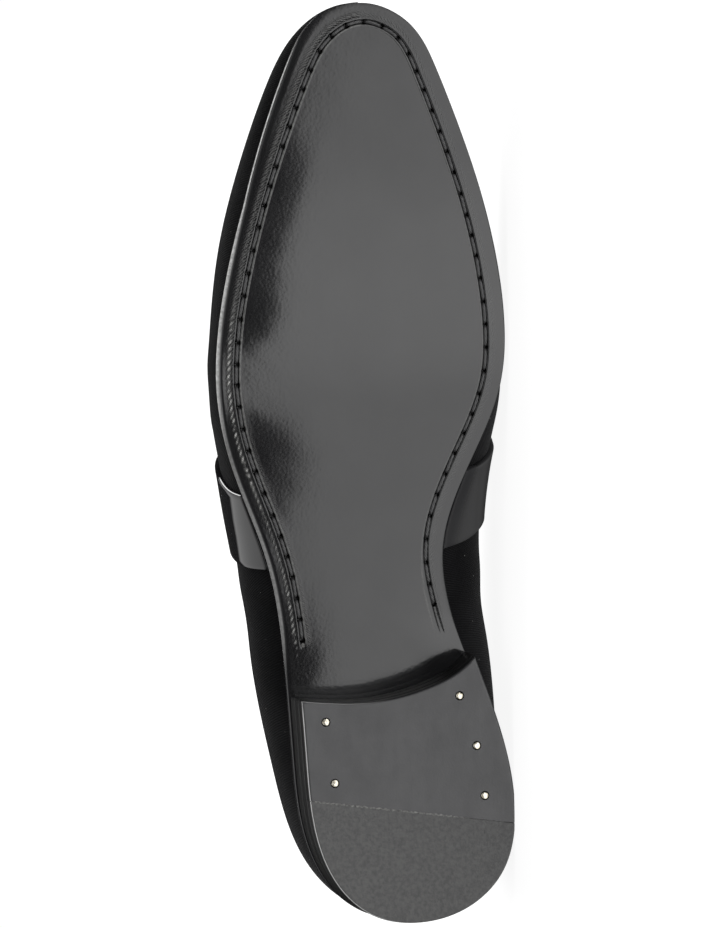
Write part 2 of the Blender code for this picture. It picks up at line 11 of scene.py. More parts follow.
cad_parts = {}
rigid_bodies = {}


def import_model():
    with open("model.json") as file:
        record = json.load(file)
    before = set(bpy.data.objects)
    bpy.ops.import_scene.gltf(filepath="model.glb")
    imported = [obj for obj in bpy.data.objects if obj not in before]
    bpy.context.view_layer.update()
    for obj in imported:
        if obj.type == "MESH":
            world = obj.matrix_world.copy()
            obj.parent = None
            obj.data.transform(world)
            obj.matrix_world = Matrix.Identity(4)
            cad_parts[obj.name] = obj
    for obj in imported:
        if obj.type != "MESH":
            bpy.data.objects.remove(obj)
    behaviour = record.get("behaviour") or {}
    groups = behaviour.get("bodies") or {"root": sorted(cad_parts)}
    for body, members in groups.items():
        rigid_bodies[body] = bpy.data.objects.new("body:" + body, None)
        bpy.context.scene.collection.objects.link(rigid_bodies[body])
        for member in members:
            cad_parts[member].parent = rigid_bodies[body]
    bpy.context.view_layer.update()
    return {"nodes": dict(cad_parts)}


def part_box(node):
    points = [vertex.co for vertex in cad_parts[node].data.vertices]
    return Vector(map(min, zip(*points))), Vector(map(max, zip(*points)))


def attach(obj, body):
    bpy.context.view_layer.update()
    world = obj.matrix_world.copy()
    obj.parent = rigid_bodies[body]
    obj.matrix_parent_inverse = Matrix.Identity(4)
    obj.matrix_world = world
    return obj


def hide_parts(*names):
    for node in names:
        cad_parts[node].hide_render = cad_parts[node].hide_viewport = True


for old in list(bpy.data.objects):
    bpy.data.objects.remove(old, do_unlink=True)

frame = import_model()
print("frame loaded with", len(frame["nodes"]), "solids")

# The shoe is worked out standing, in millimetres: x heel to toe, +y the inner side, z up.
shoe = {
    "length": 298.4,
    "ballWidth": 94.5,
    "instepHeight": 103.0,
    "heelHeight": 18.0,
    "toeSpring": 11.0,
    "soleThickness": 4.5,
    "gap": 0.3,
    "tongueStation": 0.56,
    "ridgeFade": 0.14,
    "inside": (150.0, 0.0, 30.0),
    "nailMiddle": 2.65,
    "edgePoints": 6001,
}
millimetre = 0.001
uvSize = 100.0  # millimetres to one unit of the texture places
tiny = 1e-9
upAxis = np.array([0.0, 0.0, 1.0])

# outsole's edge from above, shares of length and ball width, heel back, inner side, toe, outer side
edgeTable = (
    (0.000, 0.000), (0.013, 0.183), (0.047, 0.303), (0.117, 0.362), (0.208, 0.328),
    (0.295, 0.250), (0.406, 0.201), (0.503, 0.315), (0.577, 0.416), (0.654, 0.439),
    (0.789, 0.385), (0.923, 0.275), (0.976, 0.198), (1.000, 0.036), (0.976, -0.133),
    (0.923, -0.243), (0.792, -0.423), (0.671, -0.535), (0.591, -0.561), (0.503, -0.513),
    (0.403, -0.413), (0.302, -0.372), (0.185, -0.365), (0.097, -0.343), (0.047, -0.279),
    (0.013, -0.167),
)
toeRow = 13

# underside in side view: share of the length, then shares of heel height and of toe spring
profileTable = (
    (-0.05, 1.00, 0.00), (0.10, 1.00, 0.00), (0.22, 1.00, 0.00), (0.32, 0.85, 0.00),
    (0.42, 0.60, 0.00), (0.52, 0.29, 0.00), (0.61, 0.06, 0.00), (0.70, 0.00, 0.00),
    (0.78, 0.00, 0.06), (0.86, 0.00, 0.29), (0.93, 0.00, 0.58), (1.00, 0.00, 1.00),
    (1.05, 0.00, 1.36),
)

# the upper's wall by stations: along, middle, half and height as shares, the rest in millimetres
upperColumns = (
    "station", "along", "middle", "half", "height",
    "rise", "swellInner", "swellOuter", "reach", "drop", "inset",
)
upperTable = (
    (0.00, 0.022, 0.000, 0.000, 0.855, 23.0, 6.0, 6.0, 1.0, 20.0, 1.4),
    (0.06, 0.036, 0.000, 0.125, 0.850, 23.0, 5.5, 5.0, 1.0, 20.0, 1.4),
    (0.12, 0.078, 0.000, 0.225, 0.825, 23.0, 7.5, 7.0, 1.0, 20.0, 1.4),
    (0.20, 0.150, 0.000, 0.300, 0.780, 23.0, 13.5, 11.0, 1.5, 20.0, 1.4),
    (0.29, 0.235, 0.005, 0.325, 0.750, 23.0, 26.0, 18.5, 3.0, 20.0, 1.6),
    (0.38, 0.312, 0.012, 0.305, 0.785, 22.0, 32.0, 20.5, 7.0, 21.0, 2.0),
    (0.46, 0.376, 0.022, 0.240, 0.890, 21.0, 31.0, 15.5, 14.0, 17.0, 2.0),
    (0.52, 0.414, 0.030, 0.130, 0.972, 21.0, 23.5, 10.0, 22.0, 8.0, 1.6),
    (0.56, 0.428, 0.034, 0.000, 1.000, 22.0, 20.0, 10.5, 26.0, 0.0, 1.3),
    (0.64, 0.503, 0.036, 0.000, 0.872, 25.0, 11.5, 11.0, 28.0, 0.0, 1.0),
    (0.73, 0.600, 0.036, 0.000, 0.682, 25.0, 11.0, 16.5, 27.0, 0.0, 1.0),
    (0.82, 0.700, 0.036, 0.000, 0.535, 21.5, 12.5, 18.0, 24.0, 0.0, 1.0),
    (0.90, 0.790, 0.035, 0.000, 0.443, 17.0, 12.0, 17.0, 20.0, 0.0, 1.0),
    (0.96, 0.856, 0.033, 0.000, 0.394, 13.0, 10.0, 13.0, 17.0, 0.0, 1.0),
    (1.00, 0.894, 0.032, 0.000, 0.364, 10.0, 9.0, 9.0, 15.0, 0.0, 1.0),
)

nailPlaces = ((68.4, -26.3), (48.5, -24.8), (73.0, 18.1), (56.4, 22.6), (40.0, 24.1))
sideNames = {1: "Inner", -1: "Outer"}


def spline(knots, values, closed=False):
    knots, values = np.asarray(knots, float), np.asarray(values, float)
    count = len(knots)
    step = np.diff(knots)
    slope = np.diff(values) / step
    system = np.eye(count)
    right = np.zeros(count)
    for i in range(1, count - 1):
        system[i, i - 1:i + 2] = step[i - 1], 2 * (step[i - 1] + step[i]), step[i]
        right[i] = 6 * (slope[i] - slope[i - 1])
    if closed:
        system[0, -1] = -1
        system[-1, [0, 1, -2]] = 2 * (step[-1] + step[0]), step[0], step[-1]
        system[-1, -1] = 0
        right[-1] = 6 * (slope[0] - slope[-1])
    bend = np.linalg.solve(system, right)

    def at(where):
        where = np.asarray(where, float)
        i = np.clip(np.searchsorted(knots, where) - 1, 0, count - 2)
        b = (where - knots[i]) / step[i]
        a = 1 - b
        curve = ((a**3 - a) * bend[i] + (b**3 - b) * bend[i + 1]) * step[i] ** 2 / 6
        return a * values[i] + b * values[i + 1] + curve

    return at


def tableCurves(columns, rows):
    table = np.array(rows, float).T
    return {name: spline(table[0], column) for name, column in zip(columns[1:], table[1:])}


def fade(where, start, end):
    share = np.clip((np.asarray(where, float) - start) / (end - start), 0, 1)
    return share * share * (3 - 2 * share)


def fall(where, start, end):
    return 1 - fade(where, start, end)


def upFrom(least, share):  # from least to 1 while the share goes from 0 to 1
    return least + (1 - least) * share


def bell(where, middle, width):
    return np.exp(-(((np.asarray(where, float) - middle) / width) ** 2))


def irregular(where, quick, sway, swayPace, slow, start):  # 0 to 1, with no repeat that shows
    return 0.5 + 0.5 * np.sin(where * quick + sway * np.sin(where * swayPace)) * np.sin(where * slow + start)


def unit(vectors):
    return vectors / np.maximum(np.linalg.norm(vectors, axis=-1, keepdims=True), tiny)


def fullTurn(sides):
    return np.linspace(0, 2 * np.pi, sides, endpoint=False)


def quarterRound(radius, steps=5):  # a rounded rim, as insets and drops
    turns = np.linspace(0, math.pi / 2, steps)
    return [(radius * (1 - math.cos(turn)), radius * (1 - math.sin(turn))) for turn in turns]


def pathLength(points):  # how far along a row of points each one lies
    return np.concatenate([[0], np.cumsum(np.linalg.norm(np.diff(points, axis=0), axis=1))])


def alongPath(where, travel, points):
    return np.stack([np.interp(where, travel, column) for column in points.T], -1)


def traceEdge():
    points = np.array(edgeTable + edgeTable[:1]) * (shoe["length"], shoe["ballWidth"])
    knots = pathLength(points)
    fine = np.linspace(0, knots[-1], shoe["edgePoints"])
    traced = np.column_stack([spline(knots, column, closed=True)(fine) for column in points.T])
    tangent = np.gradient(traced, axis=0)
    tangent[[0, -1]] = traced[1] - traced[-2]
    tangent = unit(tangent)
    travel = pathLength(traced)
    toe = np.interp(knots[toeRow], fine, travel)
    return {
        "points": traced,
        "outward": np.column_stack([-tangent[:, 1], tangent[:, 0]]),
        "travel": travel,
        "sideLength": {1: toe, -1: travel[-1] - toe},
    }


edge = traceEdge()
upperCurves = tableCurves(upperColumns, upperTable)
profilePlace, heelShare, toeShare = np.array(profileTable).T
soleCurve = spline(profilePlace, heelShare * shoe["heelHeight"] + toeShare * shoe["toeSpring"])


def edgeAt(side, station, inset=0.0):  # a station is a share of one side, heel back to toe tip
    gone = np.asarray(station, float) * edge["sideLength"][side]
    place = gone if side > 0 else edge["travel"][-1] - gone
    point = alongPath(place, edge["travel"], edge["points"])
    out = unit(alongPath(place, edge["travel"], edge["outward"]))
    return point - out * np.asarray(inset, float)[..., None], out


def soleBottom(along):
    return soleCurve(np.asarray(along, float) / shoe["length"])


def soleTop(along):
    return soleBottom(along) + shoe["soleThickness"]


def ridgeSlope(station):
    step = 0.002
    low = np.minimum(np.maximum(station, shoe["tongueStation"]), 1 - step)
    run = (upperCurves["along"](low + step) - upperCurves["along"](low)) * shoe["length"]
    lift = (upperCurves["height"](low + step) - upperCurves["height"](low)) * shoe["instepHeight"]
    return lift / run * fade(station, shoe["tongueStation"] - shoe["ridgeFade"], shoe["tongueStation"])


def wallGuides(side, station):
    station = np.asarray(station, float)
    row = {name: curve(station) for name, curve in upperCurves.items()}
    behind = station < shoe["tongueStation"] - tiny
    foot, out = edgeAt(side, station, row["inset"])
    outward = np.column_stack([out, np.zeros(len(station))])
    base = np.column_stack([foot, soleTop(foot[:, 0]) + shoe["gap"]])
    top = np.column_stack([
        row["along"] * shoe["length"],
        (row["middle"] + side * np.where(behind, row["half"], 0)) * shoe["ballWidth"],
        row["height"] * shoe["instepHeight"],
    ])
    slope = (out[:, 0] * ridgeSlope(station))[:, None]
    drop = np.where(behind, row["drop"], 0)[:, None]
    shoulder = top + row["reach"][:, None] * (outward + upAxis * slope) - upAxis * drop
    swell = base + outward * row["swell" + sideNames[side]][:, None] + upAxis * row["rise"][:, None]
    return base, swell, shoulder, top


def wallGrid(side, station, share):  # points of the upper's outside, stations by shares up the wall
    base, swell, shoulder, top = (guide[:, None] for guide in wallGuides(side, station))
    s = np.asarray(share, float)[None, :, None]
    r = 1 - s
    return r**3 * base + 3 * r**2 * s * swell + 3 * r * s**2 * shoulder + s**3 * top


def gridNormals(grid):  # they look away from the shoe's inside
    normal = unit(np.cross(np.gradient(grid, axis=0), np.gradient(grid, axis=1)))
    away = np.einsum("ijk,ijk->ij", normal, grid - np.array(shoe["inside"]))
    return normal * np.where(away < 0, -1, 1)[..., None]


# The shoe lies on its inner side. The nails give the turn and the place of the solids.
def findLie():
    standing = np.array([(x, y, shoe["nailMiddle"]) for x, y in nailPlaces])
    boxes = np.array([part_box(f"nail_{i + 1}") for i in range(len(nailPlaces))])
    lying = boxes.mean(axis=1) / millimetre
    u, _, vt = np.linalg.svd((standing - standing.mean(0)).T @ (lying - lying.mean(0)))
    turn = vt.T @ np.diag([1, 1, np.sign(np.linalg.det(vt.T @ u.T))]) @ u.T
    return turn, lying.mean(0) - turn @ standing.mean(0)


lieTurn, lieShift = findLie()


def toWorld(points):
    return (np.asarray(points, float) @ lieTurn.T + lieShift) * millimetre


def toShoe(points):
    return (np.asarray(points, float) / millimetre - lieShift) @ lieTurn


@contextmanager
def editing(mesh):
    builder = bmesh.new()
    builder.from_mesh(mesh)
    yield builder
    builder.to_mesh(mesh)
    builder.free()
    mesh.shade_smooth()


def addMarks(mesh, marks):  # values stored on the points, for the materials
    for name, values in marks.items():
        layer = mesh.attributes.new(name, "FLOAT", "POINT")
        layer.data.foreach_set("value", np.asarray(values, np.float32))


def addPiece(name, shape, look, replaced=(), marks=None, closed=True):
    points, faces, uv = shape
    mesh = bpy.data.meshes.new(name)
    mesh.from_pydata(toWorld(points).tolist(), [], faces)
    mesh.materials.append(looks[look])
    if uv is not None:
        corners = np.empty(len(mesh.loops), np.int32)
        mesh.loops.foreach_get("vertex_index", corners)
        places = np.asarray(uv, np.float32)[corners]
        mesh.uv_layers.new(name="pieceUv").data.foreach_set("uv", places.ravel())
    addMarks(mesh, marks or {})
    mesh.shade_smooth()
    if closed:
        with editing(mesh) as builder:
            bmesh.ops.recalc_face_normals(builder, faces=builder.faces)
    piece = bpy.data.objects.new(name, mesh)
    bpy.context.scene.collection.objects.link(piece)
    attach(piece, "root")
    if replaced:
        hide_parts(*replaced)
    return piece


# A shape is its points, its faces and its texture places, which may be none.
def gridFaces(rows, columns, closeRows=False, closeColumns=False):
    r = np.arange(rows if closeRows else rows - 1)[:, None]
    c = np.arange(columns if closeColumns else columns - 1)[None, :]
    rNext, cNext = (r + 1) % rows, (c + 1) % columns
    corners = (r * columns + c, r * columns + cNext, rNext * columns + cNext, rNext * columns + c)
    return np.stack(corners, -1).reshape(-1, 4).tolist()


def tubeFaces(rings, count):  # closed rings, with a face over both ends
    ends = [list(range(count))[::-1], list(range((rings - 1) * count, rings * count))]
    return gridFaces(rings, count, closeColumns=True) + ends


def gridUv(rows, columns):
    return np.stack(np.meshgrid(rows, columns, indexing="ij"), -1).reshape(-1, 2)


def tubePoints(path, across, up, size):  # size has a row for each place and a column for each side
    turn = fullTurn(size.shape[1])[None, :, None]
    ring = np.cos(turn) * across[..., None, :] + np.sin(turn) * up[..., None, :]
    return (path[:, None] + ring * size[..., None]).reshape(-1, 3)


def turnedBar(profile, sides=28):  # a round piece from (radius, height) rows
    turn = fullTurn(sides)
    rings = [np.column_stack([r * np.cos(turn), r * np.sin(turn), np.full(sides, z)]) for r, z in profile]
    return np.concatenate(rings), tubeFaces(len(profile), sides), np.zeros((sides * len(profile), 2))


def moved(shape, place):
    points, faces, uv = shape
    return points + place, faces, uv


def joinShapes(shapes):
    points, faces, uv, count = [], [], [], 0
    for somePoints, someFaces, someUv in shapes:
        faces += [[i + count for i in face] for face in someFaces]
        points.append(somePoints)
        uv.append(someUv)
        count += len(somePoints)
    return np.concatenate(points), faces, np.concatenate(uv)


# Node helpers. A source is a node and the name or number of its output.
def feed(tree, node, socket, value):  # a value is a number, a triple or a source
    target = node.inputs[socket]
    if isinstance(value, tuple) and isinstance(value[0], bpy.types.Node):
        tree.links.new(value[0].outputs[value[1]], target)
    elif target.type == "RGBA":
        target.default_value = (*value, 1)
    else:
        target.default_value = value


def addNode(tree, kind, inputs=None, **settings):
    made = tree.nodes.new("ShaderNode" + kind)
    for name, value in settings.items():
        setattr(made, name, value)
    for socket, value in (inputs or {}).items():
        feed(tree, made, socket, value)
    return made


def calculate(tree, operation, first, second):
    return addNode(tree, "Math", {0: first, 1: second}, operation=operation), 0


def stretch(tree, source, low, high, toLow=0.0, toHigh=1.0, kind="LINEAR"):
    limits = {"From Min": low, "From Max": high, "To Min": toLow, "To Max": toHigh}
    return addNode(tree, "MapRange", {"Value": source, **limits}, interpolation_type=kind), 0


def softStretch(tree, source, *limits):
    return stretch(tree, source, *limits, kind="SMOOTHSTEP")


def colourMix(tree, factor, first, second):
    return addNode(tree, "Mix", {0: factor, 6: first, 7: second}, data_type="RGBA"), 2


def noise(tree, place, scale, detail, roughness):
    inputs = {"Vector": place, "Scale": scale, "Detail": detail, "Roughness": roughness}
    return addNode(tree, "TexNoise", inputs), 0


def stored(tree, name):  # a value that addMarks put on the mesh
    return addNode(tree, "Attribute", attribute_name=name), "Fac"


def perMillimetre(tree, size):  # texture scale that gives features of that many millimetres
    return calculate(tree, "DIVIDE", 1 / millimetre, size)


def newGroup(name, inputs, outputs):
    tree = bpy.data.node_groups.new(name, "ShaderNodeTree")
    for socket, value in {"Vector": (0.0, 0.0, 0.0), **inputs}.items():
        kind = "NodeSocketVector" if isinstance(value, tuple) else "NodeSocketFloat"
        tree.interface.new_socket(name=socket, in_out="INPUT", socket_type=kind).default_value = value
    for socket in outputs:
        tree.interface.new_socket(name=socket, in_out="OUTPUT", socket_type="NodeSocketFloat")
    given = tree.nodes.new("NodeGroupInput")
    sources = {socket: (given, socket) for socket in ("Vector", *inputs)}
    return tree, sources, tree.nodes.new("NodeGroupOutput")


def placeGroup(tree, group, place, inputs):
    return addNode(tree, "Group", {"Vector": place, **inputs}, node_tree=group)


grainValues = {"wrinkleShare": 0.7, "mottleLimits": (0.3, 0.7)}


def makeGrainGroup():  # pores and fine wrinkles of leather, and broad mottling of its dye
    tree, given, out = newGroup("leatherGrain", {"Pore": 0.5, "Patch": 12.0}, ("Height", "Mottle"))
    poreScale = perMillimetre(tree, given["Pore"])
    inputs = {"Vector": given["Vector"], "Scale": poreScale}
    pores = addNode(tree, "TexVoronoi", inputs, feature="SMOOTH_F1"), "Distance"
    wrinkle = noise(tree, given["Vector"], poreScale, detail=4.0, roughness=0.6)
    wrinkle = calculate(tree, "MULTIPLY", wrinkle, grainValues["wrinkleShare"])
    feed(tree, out, "Height", calculate(tree, "ADD", pores, wrinkle))
    patch = noise(tree, given["Vector"], perMillimetre(tree, given["Patch"]), detail=5.0, roughness=0.55)
    feed(tree, out, "Mottle", softStretch(tree, patch, *grainValues["mottleLimits"]))
    return tree


rubValues = {"limits": (0.35, 0.65)}


def makeRubGroup():  # faint lines that polishing leaves along the shoe
    tree, given, out = newGroup("polishRub", {"Stretch": (0.15, 1.0, 1.0), "Size": 3.0}, ("Mask",))
    pulled = addNode(tree, "VectorMath", {0: given["Vector"], 1: given["Stretch"]}, operation="MULTIPLY")
    lines = noise(tree, (pulled, 0), perMillimetre(tree, given["Size"]), detail=6.0, roughness=0.65)
    feed(tree, out, "Mask", softStretch(tree, lines, *rubValues["limits"]))
    return tree


speckValues = {"leftOut": 0.6}


def makeSpeckGroup():  # sparse lint and dust
    tree, given, out = newGroup("lintSpecks", {"Spacing": 4.0, "Radius": 0.05}, ("Mask",))
    scale = perMillimetre(tree, given["Spacing"])
    cells = addNode(tree, "TexVoronoi", {"Vector": given["Vector"], "Scale": scale, "Randomness": 1.0})
    inside = calculate(tree, "LESS_THAN", (cells, "Distance"), given["Radius"])
    parts = addNode(tree, "SeparateColor", {0: (cells, "Color")})
    some = calculate(tree, "GREATER_THAN", (parts, 0), speckValues["leftOut"])
    feed(tree, out, "Mask", calculate(tree, "MULTIPLY", inside, some))
    return tree


rowValues = {"wave": {"Detail": 3.0, "Detail Scale": 2.0}, "napScale": 9.0, "napShare": 0.9}


def makeRowGroup():  # woven rows: pile of the velvet, ribs of the binding, twist of the thread
    tree, given, out = newGroup("wovenRows", {"Rows": 60.0, "Lean": 0.35, "Fuzz": 1.5}, ("Height", "Shade"))
    inputs = {"Vector": given["Vector"], "Angle": given["Lean"]}
    leant = addNode(tree, "VectorRotate", inputs, rotation_type="Z_AXIS")
    inputs = {"Vector": (leant, 0), "Scale": given["Rows"], "Distortion": given["Fuzz"], **rowValues["wave"]}
    rows = addNode(tree, "TexWave", inputs, bands_direction="X"), "Fac"
    napScale = calculate(tree, "MULTIPLY", given["Rows"], rowValues["napScale"])
    nap = noise(tree, given["Vector"], napScale, detail=3.0, roughness=0.7)
    height = calculate(tree, "ADD", rows, calculate(tree, "MULTIPLY", nap, rowValues["napShare"]))
    feed(tree, out, "Height", height)
    feed(tree, out, "Shade", rows)
    return tree


grainGroup, rubGroup = makeGrainGroup(), makeRubGroup()
speckGroup, rowGroup = makeSpeckGroup(), makeRowGroup()
print("shared effects ready")


def newMaterial(name, colour, surface):
    material = bpy.data.materials.new(name)
    material.use_nodes = True
    tree = material.node_tree
    shader = tree.nodes["Principled BSDF"]
    for socket, value in {"Base Color": colour, **surface}.items():
        feed(tree, shader, socket, value)
    return material, tree, shader


def addBump(tree, shader, height, depth, strength, under=None):  # depth in millimetres
    bump = addNode(tree, "Bump", {"Height": height, "Distance": depth * millimetre, "Strength": strength})
    if under is not None:
        feed(tree, bump, "Normal", under)
    feed(tree, shader, "Normal", (bump, "Normal"))
    return bump, "Normal"


# wall is the black ink of the heel's sides; rim is a painted highlight along the outer edge of the tread
heelInkAndRimHighlight = {"wall": (0.005, 0.005, 0.005), "rim": (0.95, 0.95, 0.94)}
grainedLooks = {
    "heel": {
        "material": "inkedHeelLeather",
        "dark": (0.040, 0.040, 0.042),
        "light": (0.052, 0.052, 0.054),
        "surface": {"Roughness": 0.4, "Coat Weight": 0.25, "Coat Roughness": 0.22},
        "grain": {"Pore": 0.7, "Patch": 9.0},
        "rub": {"Stretch": (0.3, 1.0, 1.0), "Size": 4.0},
        "roughness": (0.33, 0.42),
        "bump": (0.045, 0.35),
        "inkedWithRimHighlight": True,
    },
    "rubber": {
        "material": "heelRubberGrain",
        "dark": (0.066, 0.066, 0.066),
        "light": (0.118, 0.118, 0.117),
        "surface": {"Roughness": 0.6, "Specular IOR Level": 0.5},
        "grain": {"Pore": 0.7, "Patch": 1.3},
        "roughness": (0.48, 0.66),
        "bump": (0.13, 0.6),
        "inkedWithRimHighlight": True,
    },
    "brass": {
        "material": "filedBrass",
        "dark": (0.80, 0.73, 0.57),
        "light": (0.95, 0.92, 0.81),
        "surface": {"Roughness": 0.25, "Metallic": 1.0},
        "grain": {"Pore": 0.9, "Patch": 0.9},
        "rub": {"Stretch": (1.0, 1.0, 0.2), "Size": 0.5},
        "roughness": (0.18, 0.4),
        "bump": (0.12, 0.8),
    },
    "inner": {
        "material": "innerLeather",
        "dark": (0.012, 0.011, 0.011),
        "light": (0.022, 0.021, 0.020),
        "surface": {"Roughness": 0.55},
        "grain": {"Pore": 1.1, "Patch": 22.0},
        "roughness": (0.5, 0.62),
        "bump": (0.12, 0.5),
    },
    # pale glue dust along the heel joint; on the wax end the same pale colour is a painted glint
    "dustAndGlint": {
        "material": "buffedJointAndGlint",
        "dark": (0.07, 0.07, 0.07),
        "light": (0.27, 0.27, 0.26),
        "surface": {"Roughness": 0.8},
        "grain": {"Pore": 0.3, "Patch": 0.8},
        "bump": (0.15, 1.0),
    },
}
wovenLooks = {
    "ribbon": {
        "material": "ribbedBinding",
        "dark": (0.006, 0.006, 0.007),
        "light": (0.018, 0.018, 0.020),
        "surface": {"Roughness": 0.7, "Sheen Weight": 0.15},
        "rows": {"Rows": 26.0, "Lean": 0.0, "Fuzz": 0.2},
        "bump": (0.12, 0.8),
    },
    "thread": {
        "material": "waxedThread",
        "dark": (0.038, 0.038, 0.039),
        "light": (0.115, 0.115, 0.116),
        "surface": {"Roughness": 0.42},
        "rows": {"Rows": 40.0, "Lean": 0.6, "Fuzz": 1.0},
        "bump": (0.05, 0.6),
    },
}


def inkWallsAndRimHighlight(tree, tone):  # the heel's sides are inked black, its tread is not, and a painted highlight lies along its outer rim
    for name, colour in heelInkAndRimHighlight.items():
        tone = colourMix(tree, stored(tree, name), tone, colour)
    return tone


def makeGrained(look):  # leather, rubber, brass and dust, with worn gloss, ink and the heel's painted rim highlight where they are given; the dust colour is also a painted glint on the wax end
    material, tree, shader = newMaterial(look["material"], look["dark"], look["surface"])
    place = addNode(tree, "TexCoord"), "Object"
    grain = placeGroup(tree, grainGroup, place, look["grain"])
    tone = colourMix(tree, (grain, "Mottle"), look["dark"], look["light"])
    feed(tree, shader, "Base Color", inkWallsAndRimHighlight(tree, tone) if "inkedWithRimHighlight" in look else tone)
    worn = grain, "Mottle"
    if "rub" in look:
        worn = placeGroup(tree, rubGroup, place, look["rub"]), "Mask"
    if "roughness" in look:
        feed(tree, shader, "Roughness", stretch(tree, worn, 0, 1, *look["roughness"]))
    addBump(tree, shader, (grain, "Height"), *look["bump"])
    return material


def makeWoven(look):
    material, tree, shader = newMaterial(look["material"], look["dark"], look["surface"])
    rows = placeGroup(tree, rowGroup, (addNode(tree, "TexCoord"), "UV"), look["rows"])
    feed(tree, shader, "Base Color", colourMix(tree, (rows, "Shade"), look["dark"], look["light"]))
    addBump(tree, shader, (rows, "Height"), *look["bump"])
    return material


looks = {name: makeGrained(look) for name, look in grainedLooks.items()}
looks.update({name: makeWoven(look) for name, look in wovenLooks.items()})
print("shared materials ready:", len(looks))

velvet = {
    "dark": (0.0018, 0.0018, 0.0021),
    "light": (0.0112, 0.0112, 0.0120),
    "lint": (0.20, 0.20, 0.19),
    "surface": {"Roughness": 0.92, "Sheen Weight": 0.06, "Sheen Roughness": 0.35, "Specular IOR Level": 0.1},
    "pile": {"Rows": 38.0, "Lean": -0.25, "Fuzz": 0.6},
    "cloud": {"Pore": 0.35, "Patch": 26.0},
    "specks": {"Spacing": 3.8, "Radius": 0.045},
    "bump": (0.12, 0.8),
    "stationsRear": 100,
    "stationsFront": 84,
    "crowdRear": 0.15,
    "crowdFront": 0.45,
    "rows": 44,
    "turnUnder": 0.4,
    "thickness": 1.05,
    "liningThickness": 0.85,
    "liningGap": 0.06,
    "weld": 0.02,
    "tongueRadius": 17.3,
    "tongueNear": 0.06,
    "tongueShares": (0.55, 1.0),
    "relaxReach": 17.0,
    "relaxPasses": 40,
    "relaxShare": 0.5,
}


def makeVelvet():
    material, tree, shader = newMaterial("blackVelvet", velvet["dark"], velvet["surface"])
    place = addNode(tree, "TexCoord")
    pile = placeGroup(tree, rowGroup, (place, "UV"), velvet["pile"])
    cloud = placeGroup(tree, grainGroup, (place, "Object"), velvet["cloud"])
    specks = placeGroup(tree, speckGroup, (place, "Object"), velvet["specks"])
    tone = colourMix(tree, (pile, "Shade"), velvet["dark"], velvet["light"])
    tone = colourMix(tree, (cloud, "Mottle"), velvet["dark"], tone)
    feed(tree, shader, "Base Color", colourMix(tree, (specks, "Mask"), tone, velvet["lint"]))
    addBump(tree, shader, (pile, "Height"), *velvet["bump"])
    return material


looks["velvet"] = makeVelvet()

# Soft hollows and swells of the velvet: side, place along and up in millimetres, half sizes, depth
velvetFolds = (
    (-1, 175.0, 30.0, 6.0, 26.0, -0.35),
    (-1, 186.0, 34.0, 5.0, 24.0, 0.30),
    (1, 178.0, 30.0, 6.0, 24.0, -0.35),
    (1, 190.0, 32.0, 5.0, 22.0, 0.30),
    (-1, 98.0, 42.0, 9.0, 20.0, -0.45),
    (1, 98.0, 40.0, 9.0, 20.0, -0.45),
    (-1, 112.0, 34.0, 7.0, 24.0, 0.35),
    (1, 110.0, 34.0, 7.0, 24.0, 0.35),
    (-1, 42.0, 52.0, 12.0, 12.0, -0.40),
    (1, 40.0, 52.0, 12.0, 12.0, -0.40),
)


def upperStations():
    tongue = shoe["tongueStation"]
    rear, front = (np.linspace(0, 1, velvet[name] + 1) for name in ("stationsRear", "stationsFront"))
    rear = tongue * (rear - velvet["crowdRear"] * rear * (1 - rear))
    front = tongue + (1 - tongue) * (front + velvet["crowdFront"] * front * (1 - front))
    return np.concatenate([rear, front[1:]])


def roundTongue(stations, shares, grid):  # rounds the front of the opening, where the walls meet in a point
    tongue = shoe["tongueStation"]
    top = grid[:, -1]
    tip = top[np.argmin(np.abs(stations - tongue))]
    arc = tip[0] - (top[:, 1] - tip[1]) ** 2 / (2 * velvet["tongueRadius"])
    near = (stations > tongue - velvet["tongueNear"]) & (stations < tongue)
    push = np.where(near, np.maximum(arc - top[:, 0], 0), 0)
    grid[..., 0] += push[:, None] * fade(shares, *velvet["tongueShares"])


def upperSheets():  # both walls with a turned-under row at the sole, and their places for the pile
    stations = upperStations()
    shares = np.linspace(0, 1, velvet["rows"] + 1)
    sheets = {}
    for side in (1, -1):
        grid = wallGrid(side, stations, shares)
        roundTongue(stations, shares, grid)
        normal = gridNormals(grid)
        height = np.array([pathLength(column) for column in grid])
        for foldSide, along, up, halfLong, halfHigh, depth in velvetFolds:
            if foldSide == side:
                dent = depth * bell(grid[..., 0], along, halfLong) * bell(height, up, halfHigh)
                grid = grid + normal * dent[..., None]
        grid = np.concatenate([grid[:, :1] - velvet["turnUnder"] * upAxis, grid], axis=1)
        travel = stations[:, None] * edge["sideLength"][side]
        uv = np.stack([np.broadcast_to(travel, height.shape), height], -1) / uvSize
        sheets[side] = grid, np.concatenate([uv[:, :1], uv], axis=1), normal
    return stations, sheets


def relaxTongue(builder, tip):  # evens out the faces that crowd together at the tongue
    centre = Vector(toWorld([tip])[0])
    reach = velvet["relaxReach"] * millimetre
    near = [v for v in builder.verts if not v.is_boundary and (v.co - centre).length < reach]
    everyWay = {f"use_axis_{axis}": True for axis in "xyz"}
    for _ in range(velvet["relaxPasses"]):
        bmesh.ops.smooth_vert(builder, verts=near, factor=velvet["relaxShare"], **everyWay)


def turnOutwards(builder):  # one face tells whether an open shell is inside out
    builder.normal_update()
    builder.faces.ensure_lookup_table()
    probe = builder.faces[len(builder.faces) // 4]
    middle = Vector(toWorld([shoe["inside"]])[0])
    if probe.normal.dot(probe.calc_center_median() - middle) < 0:
        bmesh.ops.reverse_faces(builder, faces=builder.faces)
        builder.normal_update()


